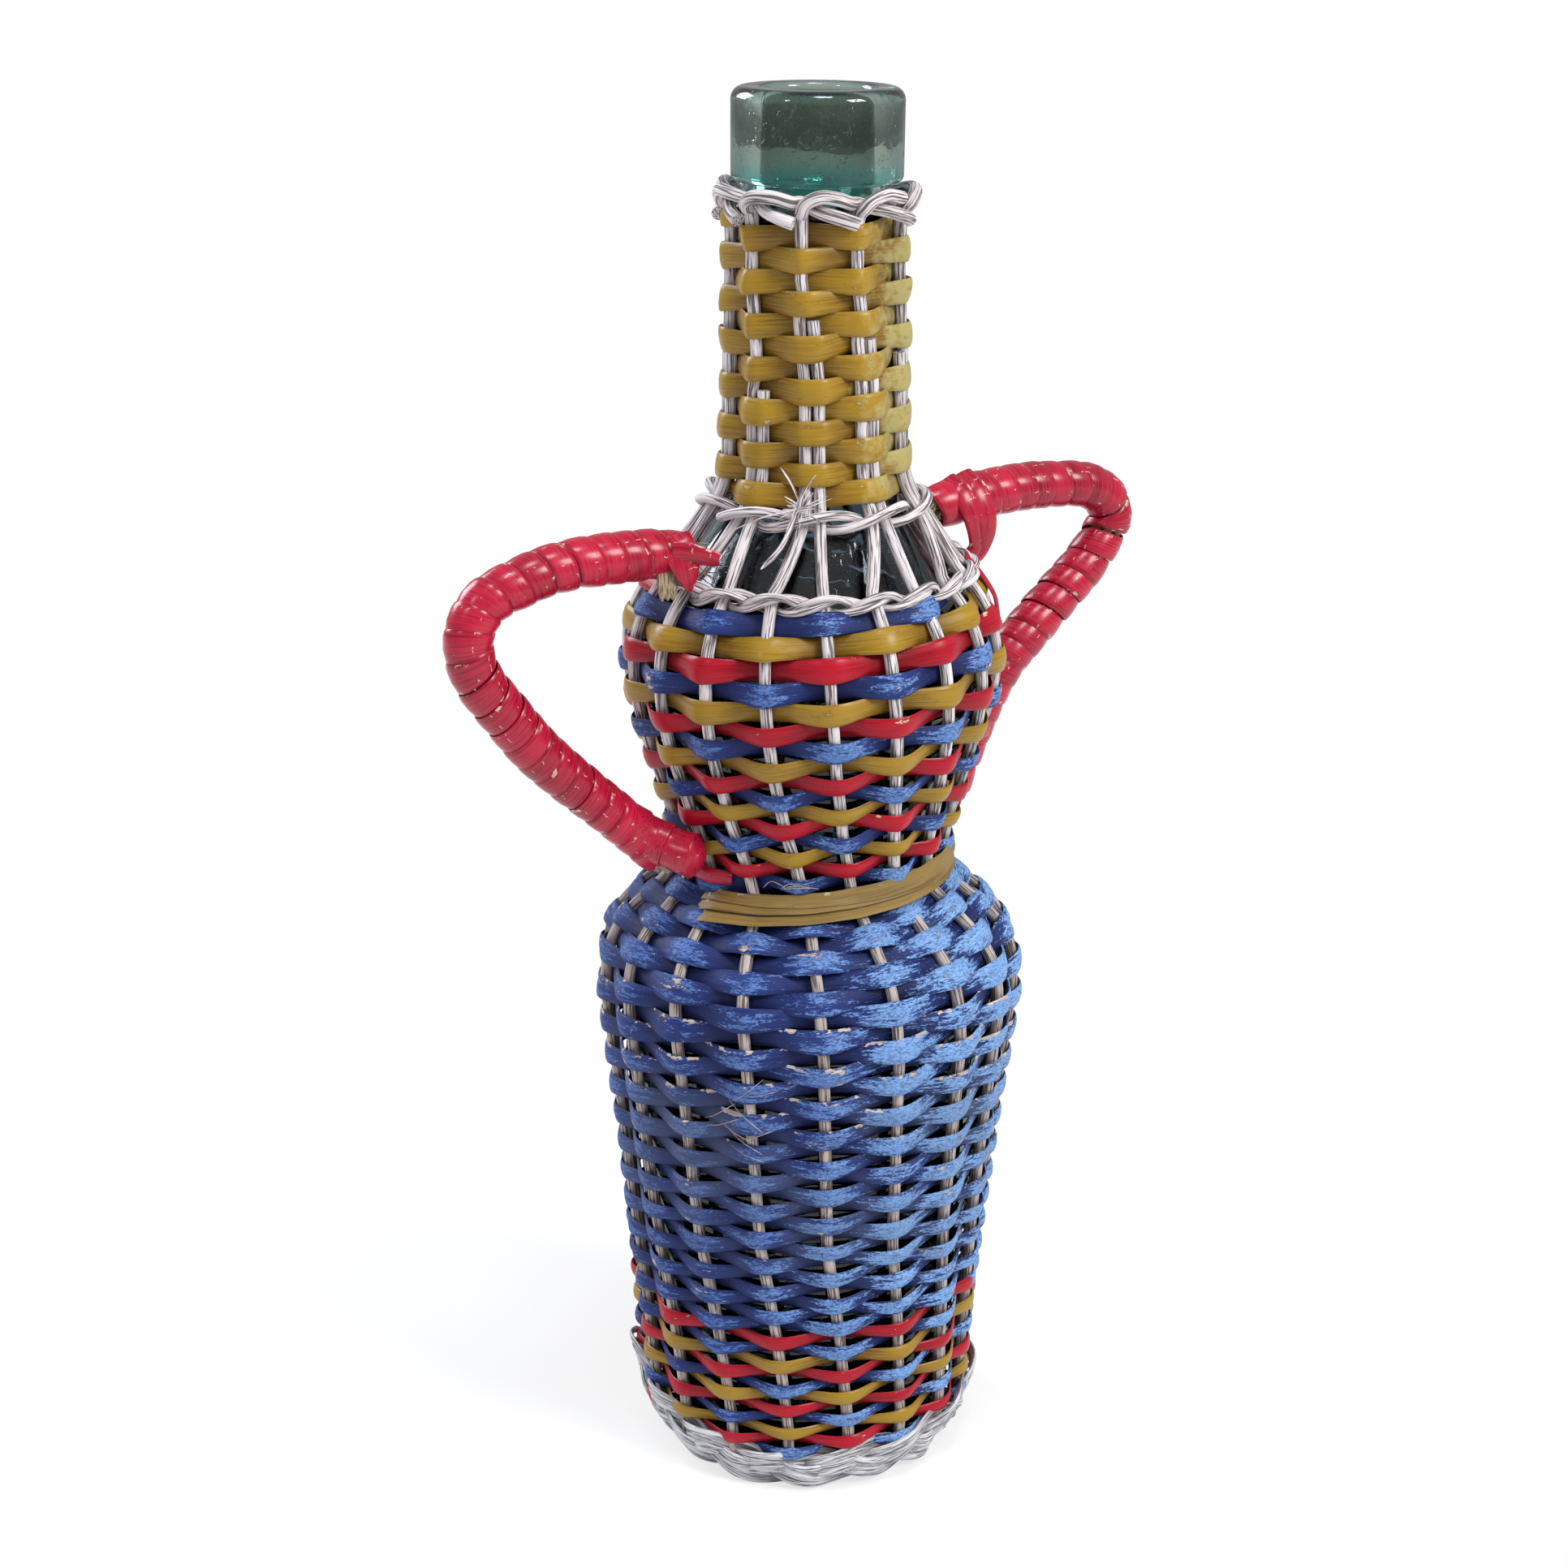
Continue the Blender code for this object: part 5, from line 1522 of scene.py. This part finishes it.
def ragged_pieces():
    """The broken ends that show in the picture: the knot, the splinters and the cobwebs."""
    knot = spot(-7, 269.5, 4.5)
    down_left = spot(-16, 264, 5.0) - knot
    up_right = spot(2, 275, 4.5) - knot
    grids = frayed(knot, unit(down_left), 12, 8 * MM, 0.45, 0.2 * MM)
    grids += frayed(knot, unit(up_right), 14, 10 * MM, 0.4, 0.2 * MM)
    grids += frayed(knot, unit(down_left), 26, 4.2 * MM, 1.0, 0.30 * MM)
    grids.append(thread([knot, spot(-13, 261, 4.5), spot(-20, 255.5, 4.2)], 0.75 * MM))
    grids.append(thread([spot(-19, 279, 3.2), spot(-12, 275, 3.8), spot(-6, 270, 4.2)], 0.3 * MM))
    grids.append(thread([spot(-40, 262.5, 4.0), spot(-24, 267, 5.0), spot(-8, 269, 4.6)], 0.22 * MM))
    for k in range(9):
        a = rng.uniform(-40, -16)
        z = rng.uniform(106, 124)
        tilt = rng.uniform(-9, 9)
        grids.append(thread([spot(a, z, 3.4), spot(a + 4, z + 0.4 * tilt, 4.6), spot(a + 9, z + tilt, 3.4)],
                            0.11 * MM))
    for k in range(6):
        a = rng.uniform(-20, -2)
        grids.append(thread([spot(a, 172, 3.0), spot(a + 4, 173 + k * 0.3, 4.0), spot(a + 9, 172.5, 3.0)],
                            0.13 * MM))
    return grids


skin("loose_fibres", ragged_pieces(), BARE)


def handle_fibres():
    """The handles' raw ends at the top joints: brushes, and three short canes at the left one."""
    grids = []
    for side in (-1, 1):
        path = handle_path(side)
        inward = unit(path[0] - path[14])
        for shift_z in (-3.2, 0.5, 3.0):
            start = path[6] + np.array([0.0, -2.2 * MM, shift_z * MM])
            grids += frayed(start, inward + np.array([0.0, -0.4, -0.35]), 9, 8 * MM, 0.3, 0.3 * MM)
    for k in range(3):
        lean_out = (k - 1) * 1.6 * MM
        grids.append(thread([(-0.0462 + lean_out, -0.0030, 0.2560), (-0.0468 + lean_out, -0.0050, 0.2505),
                             (-0.0474 + lean_out, -0.0066, 0.2462)], 1.25 * MM, 0.7))
    return grids


skin("handle_fibres", handle_fibres(), RAW)


# %% Red tails
TAIL_POINTS = 40


def tail(points, width, outward=None, thick=0.42 * MM, sides=12, taper=0.3):
    """A flat end of the red cane through given points; outward is the way its face looks."""
    path = curve_through(np.array(points), TAIL_POINTS)
    tangent = tangents(path)
    away = path * IN_PLAN if outward is None else np.broadcast_to(outward, path.shape)
    away = square_to(tangent, away)
    across_way = np.cross(tangent, away)
    across, depth = rounded(sides, 0.6)
    narrow = 1.0 - taper * np.linspace(0.0, 1.0, TAIL_POINTS) ** 3
    x = (width / 2 * narrow)[:, None] * across
    bow = 0.5 * MM * (1.0 - across ** 2) + thick * depth
    grid = path[:, None, :] + across_way[:, None, :] * x[..., None] + away[:, None, :] * bow[None, :, None]
    lay = strip_lay(lengths_of(path) / MM, x, depth, 77, 500)
    return grid, lay, 0.6, np.broadcast_to(np.abs(across), x.shape)


def left_toe(count=110, turns=3.2, sides=28):
    """The left handle's lower end: it bends round onto the front, still bound, and rounds off.

    The radius grows by a small saw-tooth along the cane, one tooth for each turn of the binding.
    The grain runs round it, so the parts of its place are turned about.
    """
    points = [(-0.0600, 0.0, 0.1901), (-0.0510, -0.0012, 0.1830), (-0.0465, -0.0050, 0.1803),
              (-0.0435, -0.0090, 0.1790), (-0.0405, -0.0130, 0.1785)]
    path = curve_through(np.array(points), count)
    t = np.linspace(0.0, 1.0, count)
    tooth = (t * turns) % 1.0
    ends = np.sqrt(np.clip(np.minimum((1.0 - t) / 0.10, t / 0.05), 0.03, 1.0))
    radius = HANDLE_RADIUS * (0.93 + 0.10 * tooth) * ends
    grid, lay, stand, edge = cane_grid(path, radius, sides, shift=800.0, stand=0.62, wobble=0.01)
    wound = lay[..., [2, 0, 1]]
    return grid, wound, stand, edge


def red_tails():
    """The binding's free ends: at the left joint, round the right joint and onto the waist."""
    facing = np.array([-0.3, -1.0, 0.1])
    to_camera = np.array([-0.1, -1.0, 0.1])
    out_left = tail([(-0.0455, -0.0060, 0.2582), (-0.0420, -0.0085, 0.2580), (-0.0388, -0.0104, 0.2572),
                     (-0.0357, -0.0120, 0.2563)], 5.6 * MM)
    flap = tail([(-0.0436, -0.0030, 0.2612), (-0.0436, -0.0060, 0.2590), (-0.0430, -0.0076, 0.2550),
                 (-0.0423, -0.0080, 0.2512), (-0.0418, -0.0076, 0.2482)], 8.6 * MM, facing, taper=0.85)
    first_band = tail([(0.0425, 0.0010, 0.2656), (0.0434, -0.0045, 0.2636), (0.0452, -0.0073, 0.2581),
                       (0.0474, -0.0068, 0.2522), (0.0484, -0.0052, 0.2482), (0.0468, -0.0046, 0.2460),
                       (0.0434, -0.0044, 0.2452)], 6.2 * MM, to_camera, taper=0.6)
    second_band = tail([(0.0475, 0.0010, 0.2668), (0.0481, -0.0048, 0.2640), (0.0496, -0.0078, 0.2576),
                        (0.0506, -0.0072, 0.2520), (0.0506, -0.0050, 0.2474), (0.0484, -0.0044, 0.2448),
                        (0.0440, -0.0042, 0.2440)], 6.4 * MM, to_camera, taper=0.6)
    limb = tail([spot(91, 251, 3.0), spot(94, 245, 2.6), spot(96, 239, 2.4), spot(97, 233, 1.6)], 2.4 * MM)
    onto_waist = tail([spot(-62, 173.6, 1.2), spot(-52, 172.8, 2.6), spot(-43, 172.3, 2.9),
                       spot(-33, 172.0, 0.6)], 4.8 * MM)
    return [out_left, flap, first_band, second_band, limb, onto_waist, left_toe()]


skin("red_tails", red_tails(), BOUND_RED)

# %% [markdown]
# ## Floor, light and backdrop
#
# The object stands on a plain pale floor, with soft light all round and four lamps: a warm key
# from the right of the camera, a cool rim lamp from behind on the left, a bluish one from above
# that lies on the rows' upper edges, and a small one far to the left that glints in the paint.
# The backdrop's white is a matter for the camera alone: what the camera sees of the floor is
# mostly its own white, with a share left for the object's shadow.

# %% Floor
FLOOR_SHARE = 0.30
FLOOR_REACH = 6.0
FLOOR_TONE = 0.78


def pale_material(name):
    """A floor that lights the object as pale ground does and looks white to the camera.

    For the camera the surface is FLOOR_SHARE matt ground and the rest plain white, and it turns
    all white with the distance from the foot.
    """
    material, board, shader = new_material(name)
    shader.inputs["Roughness"].default_value = 0.9
    shader.inputs["Specular IOR Level"].default_value = 0.0
    away = board.tree.nodes.new("ShaderNodeVectorMath")
    away.operation = "LENGTH"
    board.put(away.inputs[0], board.place())
    far = board.band(away.outputs["Value"], 0.10, 0.22)
    seen = board.tree.nodes.new("ShaderNodeLightPath").outputs["Is Camera Ray"]
    matt = board.band(far, 0.0, 1.0, FLOOR_SHARE, 0.0)
    share = board.math("MULTIPLY_ADD", seen, board.math("SUBTRACT", matt, FLOOR_TONE), FLOOR_TONE)
    board.put(shader.inputs["Base Color"], board.mix(share, (0, 0, 0, 1), (1, 1, 1, 1)))
    white = board.math("MULTIPLY", seen, board.math("SUBTRACT", 1.0, matt))
    shader.inputs["Emission Color"].default_value = (1, 1, 1, 1)
    board.put(shader.inputs["Emission Strength"], white)
    return material


floor_mesh = bpy.data.meshes.new("floor")
corners = [(x * FLOOR_REACH, y * FLOOR_REACH, 0.0) for x, y in ((-1, -1), (1, -1), (1, 1), (-1, 1))]
floor_mesh.from_pydata(corners, [], [(0, 1, 2, 3)])
floor_mesh.materials.append(pale_material("Pale floor"))
floor = bpy.data.objects.new("floor", floor_mesh)
bpy.context.scene.collection.objects.link(floor)
floor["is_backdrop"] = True
print("floor, m:", 2 * FLOOR_REACH, "square")


# %% Lamps and world
WORLD_LEVEL = 0.40
LAMPS_LOOK_AT = Vector((0, 0, 0.2))


def soft_lamp(name, place, size, power, colour):
    """A square area lamp that looks at the middle of the bottle."""
    lamp = bpy.data.lights.new(name, "AREA")
    lamp.size = size
    lamp.energy = power
    lamp.color = colour
    holder = bpy.data.objects.new(name, lamp)
    bpy.context.scene.collection.objects.link(holder)
    holder.location = place
    holder.rotation_euler = (LAMPS_LOOK_AT - Vector(place)).to_track_quat("-Z", "Y").to_euler()
    print(f"lamp {name}: {power} W")


soft_lamp("key", (0.68, -1.52, 1.5), 0.7, 30, (1.0, 0.99, 0.97))
soft_lamp("rim", (-0.6, 1.46, 1.0), 0.8, 20, (0.90, 0.93, 1.0))
soft_lamp("top", (-0.12, -0.40, 1.9), 0.40, 10, (0.90, 0.94, 1.0))
soft_lamp("glint", (-1.6, -0.35, 1.5), 0.25, 4, (0.86, 0.92, 1.0))

world = bpy.data.worlds.new("studio")
world.use_nodes = True
bpy.context.scene.world = world
backdrop = world.node_tree.nodes["Background"]
backdrop.inputs["Color"].default_value = (1, 1, 1, 1)
world_board = Board(world.node_tree)
ray = world.node_tree.nodes.new("ShaderNodeLightPath").outputs
open_view = world_board.math("MAXIMUM", ray["Is Camera Ray"], ray["Is Transmission Ray"])
world_board.put(backdrop.inputs["Strength"],
                world_board.math("MULTIPLY_ADD", open_view, 1.0 - WORLD_LEVEL, WORLD_LEVEL))

bpy.context.scene.view_settings.view_transform = "Standard"

# %% Measure and finish
low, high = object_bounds()
faces = sum(len(o.data.polygons) for o in bpy.data.objects if o.type == "MESH" and not o.hide_render)
print("visual box, mm:", [round((b - a) / MM, 1) for a, b in zip(low, high)], "faces:", faces)
